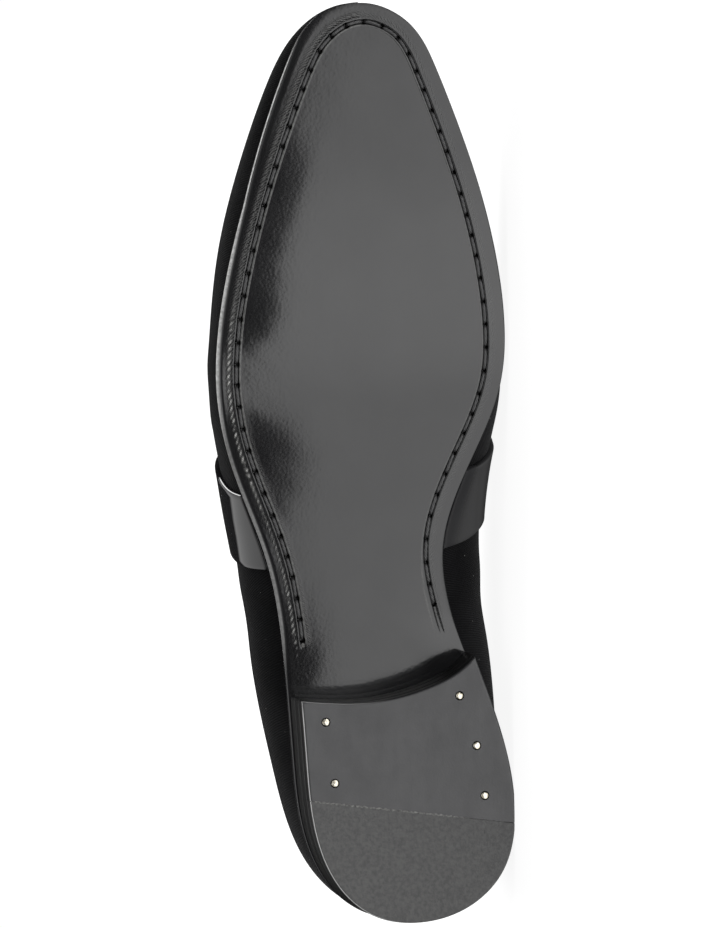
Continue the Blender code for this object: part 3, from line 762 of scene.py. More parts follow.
def buildUpper():
    stations, sheets = upperSheets()
    walls = []
    for side, (grid, uv, _) in sheets.items():
        faces = [face[::side] for face in gridFaces(*grid.shape[:2])]
        walls.append((grid.reshape(-1, 3), faces, uv.reshape(-1, 2)))
    shape = joinShapes(walls)
    shell = addPiece("velvetUpper", shape, "velvet", ["upper"], closed=False)
    lining = addPiece("lining", shape, "inner", closed=False)
    layers = (
        (shell, velvet["thickness"], 0.0),
        (lining, velvet["liningThickness"], velvet["thickness"] + velvet["liningGap"]),
    )
    for piece, thickness, depth in layers:
        with editing(piece.data) as builder:
            bmesh.ops.remove_doubles(builder, verts=builder.verts, dist=velvet["weld"] * millimetre)
            relaxTongue(builder, sheets[1][0][stations <= shoe["tongueStation"] + tiny][-1, -1])
            if piece is shell:
                surface = BVHTree.FromBMesh(builder)
            turnOutwards(builder)
            for vertex in builder.verts:
                vertex.co -= vertex.normal * depth * millimetre
        wall = piece.modifiers.new("wall", "SOLIDIFY")
        wall.thickness = thickness * millimetre
        wall.offset = -1
    print("velvet upper and lining:", len(shell.data.polygons), "faces each")
    return stations, sheets, surface


binding = {
    "across": 1.42,
    "up": 1.5,
    "sides": 16,
    "wrap": 9.0,
    "inward": 1.0,
    "sink": 0.55,
    "evenFrom": 0.49,
    "tongueNormal": (0.15, 0.0, 0.985),
    "smoothing": 2,
    "stitchStart": 2.0,
    "stitchBelow": 3.6,
    "stitchPitch": 3.1,
    "stitchLength": 2.2,
    "stitchRadius": 0.2,
    "stitchSides": 6,
    "stitchSteps": 4,
    "stitchDive": 2.2,
    "stitchTip": 0.02,
    "stitchUv": (10.0, 6.0),
}


def stitchBar(start, end, lift):  # one stitch of the topline, bowed towards lift, ends turned in
    radius, sides = binding["stitchRadius"], binding["stitchSides"]
    share = np.linspace(0, 1, binding["stitchSteps"] + 1)
    dive = np.abs(2 * share - 1)
    axis = unit(end - start)
    up = unit(lift - axis * lift.dot(axis))
    line = start + (end - start) * share[:, None]
    line = line + up * (radius * (1 - binding["stitchDive"] * dive**4))[:, None]
    size = radius * np.sqrt(np.maximum(1 - dive**6, binding["stitchTip"]))
    points = tubePoints(line, np.cross(axis, up), up, size[:, None] * np.ones(sides))
    uvLong, uvRound = binding["stitchUv"]
    uv = gridUv(share * np.linalg.norm(end - start) / uvLong, fullTurn(sides) / uvRound)
    return points, tubeFaces(len(share), sides), uv


def toplineSide(stations, grid, normal):  # top row of a wall, its normals evened out towards the tongue
    rear = stations <= shoe["tongueStation"] + tiny
    start = int(np.searchsorted(stations, binding["evenFrom"]))
    path, normal = grid[rear, -1], normal[rear, -1]
    near = fade(stations[rear][start:], binding["evenFrom"], shoe["tongueStation"])[:, None]
    normal[start:] = normal[start] * (1 - near) + np.array(binding["tongueNormal"]) * near
    return path, unit(normal)


def toplineFrame(stations, sheets):  # the path round the opening, its normals and its directions up
    inner, outer = (toplineSide(stations, sheets[side][0], sheets[side][2]) for side in (1, -1))
    path, normal = (np.concatenate([inner[i], outer[i][-2:0:-1]]) for i in range(2))
    for place, end in ((0, 0), (len(inner[0]) - 1, -1)):  # heel back and tongue tip, where the walls meet
        normal[place] = unit(inner[1][end] + outer[1][end])
    for _ in range(binding["smoothing"]):
        normal = unit(np.roll(normal, 1, 0) + 2 * normal + np.roll(normal, -1, 0))
    tangent = unit(np.roll(path, -1, 0) - np.roll(path, 1, 0))
    normal = unit(normal - tangent * np.sum(normal * tangent, axis=1, keepdims=True))
    up = np.cross(tangent, normal)
    return path, normal, up * np.sign(up[:, 2].mean())


def buildTopline(stations, sheets, surface):
    path, normal, up = toplineFrame(stations, sheets)
    travel = pathLength(path)
    sides = binding["sides"]
    centre = path - normal * binding["inward"] - up * binding["sink"]
    rings = np.ones((len(path), sides))
    points = tubePoints(centre, normal * binding["across"], up * binding["up"], rings)
    faces = gridFaces(len(path), sides, closeRows=True, closeColumns=True)
    uv = gridUv(travel / uvSize, np.linspace(0, binding["wrap"], sides) / uvSize)
    addPiece("toplineBinding", (points, faces, uv), "ribbon")
    stitchLine = path - up * binding["stitchBelow"]
    bars = []
    first, last = binding["stitchStart"], travel[-1] - binding["stitchStart"]
    for start in np.arange(first, last, binding["stitchPitch"]):
        spots = alongPath([start, start + binding["stitchLength"]], travel, stitchLine)
        ends = [toShoe(surface.find_nearest(spot.tolist())[0]) for spot in toWorld(spots)]
        bars.append(stitchBar(*ends, unit(alongPath(start, travel, normal))))
    addPiece("toplineStitching", joinShapes(bars), "thread")
    print("topline:", len(bars), "stitches")


buildTopline(*buildUpper())

patent = {
    "dark": (0.006, 0.006, 0.007),
    "light": (0.009, 0.009, 0.010),
    "surface": {"Roughness": 0.04, "Coat Roughness": 0.02},
    "grain": {"Pore": 5.0, "Patch": 18.0},
    "rub": {"Size": 6.0},
    "roughness": (0.04, 0.09),
    "tuckRoughness": 0.6,
    "bump": (0.03, 0.25),
    "tuck": (0.05, 0.10),
    "thickness": 1.55,
    "rise": 0.12,
    "sink": 0.25,
    "dome": 0.12,
    "domeReach": 12.0,
    "roundness": 0.72,
    "rollSteps": 7,
    "flatSteps": 22,
    "rows": 72,
    "foot": 0.022,
    "searched": (0.3, 0.9, 81),
}


def makePatent():
    material, tree, shader = newMaterial("blackPatent", patent["dark"], patent["surface"])
    place = addNode(tree, "TexCoord"), "Object"
    grain = placeGroup(tree, grainGroup, place, patent["grain"])
    rub = placeGroup(tree, rubGroup, place, patent["rub"])
    tuck = stored(tree, "tuck")
    feed(tree, shader, "Base Color", colourMix(tree, (grain, "Mottle"), patent["dark"], patent["light"]))
    gloss = stretch(tree, (rub, "Mask"), 0, 1, *patent["roughness"])
    dull = calculate(tree, "MULTIPLY", tuck, patent["tuckRoughness"])
    feed(tree, shader, "Roughness", calculate(tree, "MAXIMUM", gloss, dull))
    feed(tree, shader, "Coat Weight", stretch(tree, tuck, 0, 1, 1.0, 0.0))
    addBump(tree, shader, (grain, "Height"), *patent["bump"])
    return material


looks["patent"] = makePatent()

# the strap's edges by the share up the wall, in millimetres from the heel's back
strapColumns = ("up", "rearInner", "frontInner", "rearOuter", "frontOuter")
strapTable = (
    (0.00, 119.5, 145.0, 117.5, 142.5),
    (0.15, 122.0, 149.0, 118.5, 146.0),
    (0.28, 126.0, 154.5, 121.0, 152.5),
    (0.60, 134.0, 163.5, 130.0, 162.0),
    (0.85, 138.9, 168.8, 138.3, 168.6),
    (1.00, 140.3, 170.2, 140.3, 170.2),
    (1.15, 138.9, 168.8, 138.3, 168.6),
    (1.40, 134.0, 163.5, 130.0, 162.0),
)
strapCurves = tableCurves(strapColumns, strapTable)


def strapPlaces(width):  # across the strap, close together at its rolled edges
    roundness = patent["roundness"]
    rolled = roundness * (1 - np.cos(np.linspace(0, np.pi / 2, patent["rollSteps"])))
    flat = np.linspace(roundness, width - roundness, patent["flatSteps"])[1:-1]
    return np.concatenate([rolled, flat, width - rolled[::-1]])


def strapRow(side, share):
    searched = np.linspace(*patent["searched"])
    rear, front = (float(strapCurves[end + sideNames[side]](share)) for end in ("rear", "front"))
    along = wallGrid(side, searched, [share])[:, 0, 0]
    places = strapPlaces(front - rear)
    station = np.interp(rear + places, along, searched)
    return wallGrid(side, station, [share])[:, 0], places


def buildStrap():  # patent band with rolled edges, tucked in at the sole on both sides
    shares = np.linspace(patent["foot"], 1, patent["rows"] + 1)
    course = [(1, share) for share in shares] + [(-1, share) for share in shares[-2::-1]]
    grid, places = (np.array(part) for part in zip(*(strapRow(side, share) for side, share in course)))
    normal = gridNormals(grid)
    inside = np.minimum(places, places[:, -1:] - places)
    rolled = np.sqrt(1 - (1 - np.clip(inside / patent["roundness"], 0, 1)) ** 2)
    dome = patent["dome"] * np.clip(inside / patent["domeReach"], 0, 1)
    top = grid + normal * (patent["rise"] + patent["thickness"] * rolled + dome)[..., None]
    low = grid + normal * (patent["rise"] - patent["sink"])
    loops = np.concatenate([top, low[:, ::-1]], axis=1)
    rows, count = loops.shape[:2]
    tucked = [fall(share, *patent["tuck"]) if side > 0 else 0.0 for side, share in course]
    shape = loops.reshape(-1, 3), tubeFaces(rows, count), None
    addPiece("patentStrap", shape, "patent", ["strap"], {"tuck": np.repeat(tucked, count)})
    print("strap:", rows * count, "points")


buildStrap()

soleLook = {
    "dark": (0.0125, 0.0125, 0.0135),
    "light": (0.018, 0.018, 0.019),
    # painted shade in the channel and the stitch holes
    "groove": (0.002, 0.002, 0.002),
    # the next two colours paint a highlight along the sole's outer edge
    "cutEdge": (0.85, 0.85, 0.84),
    "edgeHighlightDim": (0.50, 0.50, 0.49),
    # paler colour on the tool strokes, along the channel's lip and on the crests of the combed marks
    "paleMarkColour": (0.75, 0.75, 0.72),
    "surface": {"Roughness": 0.15, "Coat Roughness": 0.06},
    "coat": (0.4, 1.0),
    "roughness": (0.13, 0.16),
    "grain": {"Pore": 1.0, "Patch": 16.0},
    "fibre": {"Pore": 0.6, "Patch": 1.1},
    "rub": {"Stretch": (0.3, 1.0, 1.0), "Size": 14.0},
    "lipMarks": {"Rows": 44.0, "Lean": 0.95, "Fuzz": 6.0},
    "fringeMarks": {"Rows": 56.0, "Lean": -0.75, "Fuzz": 6.0},
    "crest": (0.55, 1.0, 0.0, 0.16),
    "grainBump": (0.035, 0.5),
    "markBump": (0.07, 1.0),
}


def combedMarks(tree, place, name):  # fine strokes where the mesh asks for them: their height and paleness
    wanted = stored(tree, name)
    marks = placeGroup(tree, rowGroup, place, soleLook[name + "Marks"])
    crest = softStretch(tree, (marks, "Shade"), *soleLook["crest"])
    return [calculate(tree, "MULTIPLY", part, wanted) for part in ((marks, "Height"), crest)]


def makeSoleLeather():
    material, tree, shader = newMaterial("polishedSoleLeather", soleLook["dark"], soleLook["surface"])
    coordinates = addNode(tree, "TexCoord")
    place = coordinates, "Object"
    grain = placeGroup(tree, grainGroup, place, soleLook["grain"])
    fibre = placeGroup(tree, grainGroup, place, soleLook["fibre"])
    rub = placeGroup(tree, rubGroup, place, soleLook["rub"])
    outside, outsidePale = combedMarks(tree, (coordinates, "UV"), "lip")
    inside, insidePale = combedMarks(tree, (coordinates, "UV"), "fringe")
    groove, cutEdge, stroke = (stored(tree, name) for name in ("groove", "cutEdge", "stroke"))
    pale = calculate(tree, "MAXIMUM", outsidePale, insidePale)
    paintedHighlight = colourMix(tree, (fibre, "Mottle"), soleLook["edgeHighlightDim"], soleLook["cutEdge"])
    tone = colourMix(tree, (grain, "Mottle"), soleLook["dark"], soleLook["light"])
    # painted highlight along the sole's outer edge
    tone = colourMix(tree, cutEdge, tone, paintedHighlight)
    # paler on the tool strokes, the channel's lip and the crests of the combed marks
    tone = colourMix(tree, calculate(tree, "MAXIMUM", pale, stroke), tone, soleLook["paleMarkColour"])
    # painted shade darkens the channel and the stitch holes
    feed(tree, shader, "Base Color", colourMix(tree, groove, tone, soleLook["groove"]))
    feed(tree, shader, "Coat Weight", stretch(tree, cutEdge, 0, 1, *soleLook["coat"]))
    feed(tree, shader, "Roughness", stretch(tree, (rub, "Mask"), 0, 1, *soleLook["roughness"]))
    relief = addBump(tree, shader, (grain, "Height"), *soleLook["grainBump"])
    for marks in (outside, inside):
        relief = addBump(tree, shader, marks, *soleLook["markBump"], under=relief)
    return material


looks["sole"] = makeSoleLeather()

# Places are millimetres from the heel's back, and insets millimetres from the sole's edge. Where a value
# differs between the sides, 1 is the inner and -1 the outer one. Scribble and markUneven go to irregular.
sole = {
    "channelInset": 5.4,
    "channelWidth": 1.5,
    "channelDepth": 0.75,
    "channelEnds": {1: 91.0, -1: 91.0},
    "channelFade": {1: 9.0, -1: 4.0},
    "tailShift": 1.3,
    "tailPlace": (100.0, 128.0),
    "shiftReach": (1.5, 4.5),
    "scribble": (2.9, 1.7, 1.13, 0.71, 0.4),
    "brokenShare": (0.35, 0.45),
    "brokenPlace": (140.0, 160.0),
    "tornLoss": 0.5,
    "stitchStart": {1: 102.0, -1: 94.0},
    "stitchPitch": 7.3,
    "toePitch": 6.4,
    "toePlace": (225.0, 285.0),
    "pitchWaves": ((0.05, 11.0, 0.0), (0.04, 4.7, 1.0)),
    "stitchRadius": 0.5,
    "stitchSteps": 22,
    "stitchSides": 14,
    "stitchEnd": 0.3,
    "stitchSink": 0.40,
    "stitchDive": 1.2,
    "stitchThinning": 0.25,
    "stitchOval": (1.1, 0.9),
    "stitchWander": ((0.12, 2.4), (0.06, 1.7)),
    "plies": 3,
    "plyDepth": 0.12,
    "plyTurn": 1.9,
    "knotRadius": 0.8,
    "knotAhead": 1.7,
    "knotRows": ((0.7, 0.5), (1.0, 0.1), (0.9, -0.25), (0.5, -0.45)),
    "knotPress": (0.75, 0.15, 3),
    "holeDepth": 1.3,
    "holeFade": 3.0,
    "holeLength": {1: 0.5, -1: 0.70},
    "holeSpread": {1: 0.08, -1: 0.22},
    "spacing": 0.33,
    "seatSpacing": 1.5,
    "seatEnd": (70.0, 84.0),
    "searchedStations": 4001,
    "searchedStitches": 3000,
    "rimStep": 6,
    "rimBlocks": 40,
    "marginInsets": (1.6, 2.1, 2.5, 2.8, 3.1, 3.4, 3.7, 4.0, 4.3, 4.6, 4.9, 5.15),
    "grooveSteps": ((0.10, 0.45), (0.22, 0.9), (0.45, 1.0)),
    "grooveShades": (0.2, 0.6, 0.95, 1.0, 1.0, 1.0, 0.95, 0.6, 0.15),
    "grooveLip": 0.05,
    "fieldInsets": (0.3, 0.55, 0.8, 1.1, 1.5, 2.0, 2.6),
    "fieldColumns": 22,
    "fieldCrowd": 0.09,
    "fieldTurn": (0.2, 0.8),
    "lipRaise": {1: 0.05, -1: 0.12},
    "lipPlace": (4.9, 0.5),
    "fieldLipRaise": 0.05,
    "fieldLipPlace": (0.2, 0.22),
    "markInset": 3.6,
    "markWidth": 0.42,
    "markPitch": 2.05,
    "markSlant": 1.6,
    "markPower": 3.2,
    "markDepth": 0.22,
    "markPale": 2.4,
    "markUneven": (0.63, 2.0, 1.9, 0.217, 1.0),
    "blur": 0.45,
    "blurLevel": 0.4,
    "blurPlace": (146.0, 9.0),
    "lipPale": {1: 0.10, -1: 0.30},
    "palePlace": (0.32, 0.2),
    "paleLeast": 0.4,
    "lipMarks": (3.9, 0.9),
    "lipMarkLeast": 0.25,
    "lipMarkPlace": (165.0, 200.0),
    "fringe": (7.9, 0.7),
    "fringePlaces": ((0.3, 170.0, 190.0), (0.7, 102.0, 116.0)),
    "beadStart": (78.0, 102.0),
    "beadFront": (150.0, 185.0),
    "beadTip": (215.0, 245.0),
    "beadEnd": (276.0, 294.0),
    "highlightStart": (78.0, 92.0),
    "curlPower": 1.8,
    "innerReach": 26.0,
    "flatPlace": (179.0, 11.0),
    "flatWidth": 5.0,
    "cornerBack": (78.0, 88.0),
    "cornerRise": (76.0, 100.0),
    "cornerEnd": (110.0, 160.0),
    "cornerReach": 18.0,
    "cornerRoll": 1.3,
    "cornerDrop": 1.9,
    "broadWaves": ((0.05, 17.0, 23.0, 0.0), (0.04, 9.5, -14.0, 1.3)),
    "fineWave": {"size": 0.008, "along": 2.3, "sway": 2.0, "swayAcross": 6.1, "across": 2.9, "slant": 7.3},
}
channelRim = sole["channelInset"] + sole["channelWidth"]

# the sole's edge from its top to its tread, inset and height in millimetres
edgeShapes = {
    "inner": (
        (9.0, 4.5), (0.9, 4.5), (0.4, 4.4), (0.1, 4.0), (-0.05, 3.2), (-0.05, 2.0), (-0.05, 0.9),
        (-0.04, 0.4), (0.0, 0.2), (0.04, 0.12), (0.09, 0.06), (0.15, 0.02), (0.25, 0.0),
    ),
    "rear": (
        (9.6, 4.5), (1.5, 4.5), (1.0, 4.4), (0.62, 4.1), (0.28, 3.3), (0.10, 2.4), (-0.03, 1.6),
        (0.03, 1.47), (0.10, 1.33), (0.34, 0.90), (0.60, 0.45), (0.78, 0.14), (0.90, 0.03),
    ),
    "front": (
        (9.6, 4.5), (1.5, 4.5), (0.9, 4.42), (0.5, 4.2), (0.30, 3.85), (0.25, 3.4), (0.42, 3.0),
        (0.75, 2.74), (0.95, 2.50), (1.0, 1.6), (1.0, 0.6), (1.06, 0.15), (1.25, 0.02),
    ),
    "toe": (
        (9.6, 4.5), (1.6, 4.5), (1.0, 4.42), (0.6, 4.2), (0.40, 3.85), (0.30, 3.4), (0.33, 3.05),
        (0.45, 2.72), (0.57, 2.50), (0.60, 1.6), (0.62, 0.6), (0.70, 0.15), (0.95, 0.02),
    ),
}
# how strong the painted highlight on the sole's outer edge is behind and ahead of the waist, and how far
# each row follows edgeSpread
edgeHighlightShares = {
    "rear": (0, 0.27, 0.27, 0.27, 0.27, 0.27, 0.27, 0.27, 0.27, 0.27, 0.27, 0.10, 0),
    "front": (0, 0.3, 0.8, 1, 1, 1, 1, 1, 0.5, 0, 0, 0, 0),
}
edgeFollow = (0.0, 1, 1, 1, 1, 1, 1, 0.9, 0.7, 0.65, 0.65, 0.6, 0.5)
# how far the edge stands out, in millimetres: place along, inner side, outer side
edgeSpread = (
    (0.0, 0.0, 0.0), (90.0, 0.1, 0.35), (176.0, 0.1, 0.3), (200.0, 0.45, 0.2), (222.0, 0.6, 0.1),
    (235.0, 0.65, 0.1), (243.0, 0.65, 0.45), (258.0, 0.65, 1.05), (270.0, 0.6, 1.35),
    (283.0, 0.4, 1.5), (290.0, 0.2, 1.8), (294.5, 0.1, 1.8), (297.0, 0.1, 1.0), (299.0, 0.1, 0.1),
)

# how far the margins turn up, in millimetres: share of the length, inner side, outer side, outer reach
curlTable = (
    (-0.020, 0.10, 0.10, 16.0), (0.120, 0.10, 0.10, 16.0), (0.235, 0.25, 0.45, 18.0),
    (0.285, 0.40, 0.90, 20.0), (0.328, 0.40, 0.85, 20.0), (0.375, 0.40, 0.68, 21.0),
    (0.442, 0.40, 0.80, 25.0), (0.479, 0.40, 1.35, 29.0), (0.510, 0.40, 1.80, 31.0),
    (0.540, 0.40, 1.95, 31.0), (0.560, 0.40, 1.40, 29.0), (0.577, 0.40, 0.85, 27.0),
    (0.605, 0.40, 0.70, 26.0), (0.636, 0.40, 0.78, 25.0), (0.655, 0.40, 1.25, 24.0),
    (0.678, 0.40, 1.42, 23.0), (0.705, 0.40, 1.22, 22.0), (0.735, 0.40, 1.20, 22.0),
    (0.788, 0.40, 1.35, 22.0), (0.828, 0.35, 1.15, 21.0), (0.865, 0.30, 0.60, 20.0),
    (0.920, 0.18, 0.28, 20.0), (0.955, 0.06, 0.10, 20.0), (0.985, 0.01, 0.02, 20.0),
    (1.030, 0.0, 0.0, 20.0),
)
curlCurves = tableCurves(("along", "inner", "outer", "reach"), curlTable)

# how strong the strokes beside the channel are: place along in millimetres, strength
strokeTable = (
    (86.0, 0.0), (92.0, 0.8), (110.0, 0.75), (119.0, 0.28), (132.0, 0.25), (143.0, 0.5),
    (153.0, 0.9), (186.0, 1.0), (197.0, 0.6), (207.0, 0.1), (240.0, 0.1),
)


def bySide(side, name):
    return np.where(side > 0, sole[name][1], sole[name][-1])


def nearEdge(inset, reach):
    return np.clip(1 - inset / reach, 0, 1) ** sole["curlPower"]


def marginCurl(along, inset, outerShare):  # outerShare is 0 at the inner margin and 1 at the outer one
    share, innerShare = along / shoe["length"], 1 - outerShare
    amount = curlCurves["inner"](share) * innerShare + curlCurves["outer"](share) * outerShare
    reach = sole["innerReach"] * innerShare + curlCurves["reach"](share) * outerShare
    flat = sole["flatWidth"] * bell(along, *sole["flatPlace"]) * outerShare
    risen = fade(along, *sole["cornerRise"])
    rolled = sole["cornerRoll"] * risen * fall(along, *sole["cornerEnd"])
    dropped = sole["cornerDrop"] * (1 - risen) * fade(along, *sole["cornerBack"])
    corner = (rolled - dropped) * innerShare * nearEdge(inset, sole["cornerReach"])
    return corner + amount * nearEdge(np.hypot(inset, flat), reach)


def waviness(along, across):  # hardly visible unevenness of the hand-finished sole
    broad = sum(size * np.sin(along / x + across / y + start) for size, x, y, start in sole["broadWaves"])
    wave = sole["fineWave"]
    swayed = np.sin(along / wave["along"] + wave["sway"] * np.sin(across / wave["swayAcross"]))
    fine = swayed * np.sin(across / wave["across"] + along / wave["slant"])
    return broad + wave["size"] * fine


def treadLevel(along, across, inset, outerShare):
    return soleBottom(along) + marginCurl(along, inset, outerShare) + waviness(along, across)


def soleStations():  # close together along the channel, wider round the seat
    fine = np.linspace(0, 1, sole["searchedStations"])
    point, _ = edgeAt(-1, fine)
    wide, close = sole["seatSpacing"], sole["spacing"]
    density = 1 / (wide + (close - wide) * fade(point[:, 0], *sole["seatEnd"]))
    steps = (density[1:] + density[:-1]) / 2 * np.diff(fine) * edge["sideLength"][-1]
    count = np.concatenate([[0], np.cumsum(steps)])
    return np.interp(np.linspace(0, count[-1], int(round(count[-1])) + 1), count, fine)


def thereAndBack(one):  # stations up the inner side and down the outer side, and the side of each
    station = np.concatenate([one, one[-2:0:-1]])
    side = np.concatenate([np.ones(len(one)), -np.ones(len(one) - 2)])
    return station, side


def ringAt(station, side, inset):
    inner, outer = (edgeAt(which, station, inset)[0] for which in (1, -1))
    return np.where(side[:, None] > 0, inner, outer)


def stitchEnds(ring, travel, side):  # places of the holes, closer together round the toe
    ends = {}
    for which in (-1, 1):
        rear = np.flatnonzero((side == which) & (ring[:, 0] < shoe["length"] / 2))
        rear = rear[np.argsort(ring[rear, 0])]
        ends[which] = float(np.interp(sole["stitchStart"][which], ring[rear, 0], travel[rear]))
    order = np.argsort(travel)
    fine = np.linspace(ends[-1], ends[1], sole["searchedStitches"])
    along = np.interp(fine, travel[order], ring[order, 0])
    pitch = sole["stitchPitch"] + (sole["toePitch"] - sole["stitchPitch"]) * fade(along, *sole["toePlace"])
    pitch = pitch * (1 + sum(size * np.sin(fine / long + start) for size, long, start in sole["pitchWaves"]))
    count = np.concatenate([[0], np.cumsum(np.diff(fine) / pitch[1:])])
    stitches = int(round(count[-1]))
    return np.interp(np.arange(stitches + 1) * count[-1] / stitches, count, fine)


def channelRun():  # all that changes along the channel, with a value for each place round the sole
    station, side = thereAndBack(soleStations())
    foot = ringAt(station, side, 0 * station)
    shift = sole["tailShift"] * fall(foot[:, 0], *sole["tailPlace"]) * (side > 0)  # it nears the edge there
    ring = ringAt(station, side, (sole["channelInset"] + channelRim) / 2 - shift)
    order = np.concatenate([[0], np.arange(len(station) - 1, 0, -1)])  # from the heel up the outer side
    travel = np.zeros(len(ring))
    travel[order] = pathLength(ring[order])
    holes = stitchEnds(ring, travel, side)
    nearest = np.min(np.abs(travel[:, None] - holes), axis=1)
    ends = bySide(side, "channelEnds")
    hole = np.exp(-((nearest / bySide(side, "holeLength")) ** 4))
    hole = hole * fade(ring[:, 0], ends, ends + sole["holeFade"])
    scribble = irregular(travel, *sole["scribble"])
    least, more = sole["brokenShare"]
    broken = np.where(side > 0, least + more * fall(ring[:, 0], *sole["brokenPlace"]), 0.0)
    return {
        "station": station, "side": side, "outerShare": (side < 0) * 1.0, "foot": foot, "shift": shift,
        "ring": ring, "order": order, "travel": travel, "holes": holes, "hole": hole,
        "opened": fade(ring[:, 0], ends, ends + bySide(side, "channelFade")),
        "spread": bySide(side, "holeSpread") * hole,
        "scribble": scribble, "torn": broken * (1 - scribble),
    }


def toolMarks(run, along, inset):  # slanted strokes that closing the channel left outside it, 0 to 1
    side, travel = run["side"], run["travel"]
    strong = np.where(side > 0, 0.0, np.interp(along, *np.array(strokeTable).T))
    blurred = sole["blur"] * bell(along, *sole["blurPlace"])
    phase = (travel + sole["markSlant"] * side * (inset - sole["markInset"])) / sole["markPitch"]
    stroke = np.clip(np.sin(2 * np.pi * phase), 0, 1) ** sole["markPower"]
    stroke = stroke * (1 - blurred) + sole["blurLevel"] * blurred
    stroke = stroke * bell(inset, sole["markInset"], sole["markWidth"])
    return strong * irregular(travel, *sole["markUneven"]) * stroke


def edgeRows(along, side):  # inset, height and painted highlight of the sole's edge, from its top to its tread
    outer = (side < 0) * fade(along, *sole["beadStart"]) * fall(along, *sole["beadEnd"])
    front = fade(along, *sole["beadFront"])
    tip = fade(along, *sole["beadTip"])
    places, inner, outward = np.array(edgeSpread).T
    spread = np.where(side > 0, np.interp(along, places, inner), np.interp(along, places, outward))
    rows = []
    for i, follow in enumerate(edgeFollow):
        flank, rear, ball, toe = (np.array(shape[i])[:, None] for shape in edgeShapes.values())
        ahead = ball + (toe - ball) * tip
        inset, high = flank + (rear + (ahead - rear) * front - flank) * outer
        tone = edgeHighlightShares["rear"][i] + (edgeHighlightShares["front"][i] - edgeHighlightShares["rear"][i]) * front
        follow = follow + (1 - follow) * tip * (i > 0)
        rows.append((inset - spread * follow, high, tone * outer * fade(along, *sole["highlightStart"])))
    return rows


def edgeRing(run, inset, height):
    x, y = ringAt(run["station"], run["side"], inset).T
    low = treadLevel(x, y, np.maximum(inset, 0), run["outerShare"])
    return np.column_stack([x, y, low + (soleTop(x) - low) * height / shoe["soleThickness"]])


def underRing(run, inset, lift=0.0, lipShare=1.0):
    place = inset - run["shift"] * fade(inset, *sole["shiftReach"])
    x, y = ringAt(run["station"], run["side"], place).T
    raised = bySide(run["side"], "lipRaise") * bell(inset, *sole["lipPlace"])
    raised = raised + sole["fieldLipRaise"] * bell(inset - channelRim, *sole["fieldLipPlace"])
    raised = raised * run["opened"] + sole["markDepth"] * toolMarks(run, x, inset)
    tread = treadLevel(x, y, place, run["outerShare"])
    return np.column_stack([x, y, tread - raised * lipShare + lift])


def grooveRing(run, inset, share):
    depth = run["opened"] * sole["channelDepth"] * (1 - sole["tornLoss"] * run["torn"])
    return underRing(run, inset, share * (depth + run["hole"] * sole["holeDepth"]), 1 - share)


def soleRings(run, border):  # over the edge, across the margin and the channel to the field
    lip = sole["grooveLip"] * run["opened"]
    outerLip, innerLip = sole["channelInset"] - run["spread"], channelRim + run["spread"]
    rings = [edgeRing(run, inset, height) for inset, height, _ in border]
    rings += [underRing(run, inset) for inset in sole["marginInsets"]]
    rings += [underRing(run, outerLip, lip)]
    rings += [grooveRing(run, outerLip + step, share) for step, share in sole["grooveSteps"]]
    rings += [grooveRing(run, (outerLip + innerLip) / 2, 1.0)]
    rings += [grooveRing(run, innerLip - step, share) for step, share in sole["grooveSteps"][::-1]]
    rings += [underRing(run, innerLip, lip)]
    return rings + [underRing(run, channelRim + extra) for extra in sole["fieldInsets"]]


def soleMarks(run, rings, border):  # where the leather is grooved, stroked and combed, with painted shade in the channel and holes and a painted highlight on its outer edge
    side, travel, opened = run["side"], run["travel"], run["opened"]
    names = ("groove", "lip", "fringe", "cutEdge", "stroke")
    marks = {name: np.zeros((len(rings), len(side))) for name in names}
    uv = np.zeros((len(rings), len(side), 2))
    for i, ring in enumerate(rings):
        x = ring[:, 0]
        inset = np.linalg.norm(ring[:, :2] - run["foot"], axis=1)
        uv[i] = np.column_stack([travel, inset]) / uvSize
        beyond = (i >= len(border)) * opened
        fine = upFrom(sole["lipMarkLeast"], np.where(side > 0, 0.0, fade(x, *sole["lipMarkPlace"])))
        near = sum(share * fall(x, start, end) for share, start, end in sole["fringePlaces"])
        paleLipLine = bySide(side, "lipPale") * bell(inset - channelRim, *sole["palePlace"])
        paleLipLine = paleLipLine * upFrom(sole["paleLeast"], run["scribble"])
        pale = sole["markPale"] * toolMarks(run, x, inset) + paleLipLine
        marks["lip"][i] = bell(inset, *sole["lipMarks"]) * fine * beyond
        marks["fringe"][i] = bell(inset, *sole["fringe"]) * np.where(side > 0, 0.0, near) * beyond
        marks["stroke"][i] = np.clip(pale, 0, 1) * beyond
    # painted highlight along the outer edge, row by row
    for i, (_, _, tone) in enumerate(border):
        marks["cutEdge"][i] = tone
    # painted shade across the channel, full in the stitch holes
    grooveStart = len(border) + len(sole["marginInsets"])
    outerRings = 1 + len(sole["grooveSteps"])
    for i, shade in enumerate(sole["grooveShades"]):
        whole = 1 - run["torn"] * (i < outerRings)
        marks["groove"][grooveStart + i] = np.maximum(shade * opened * whole, run["hole"])
    return marks, uv


def edgeDistance(points):  # how far each point lies inside the outsole's edge
    rim = edge["points"][:: sole["rimStep"]]
    blocks = np.array_split(points, sole["rimBlocks"])
    return np.concatenate([np.sqrt(((some[:, None, :2] - rim) ** 2).sum(2).min(1)) for some in blocks])


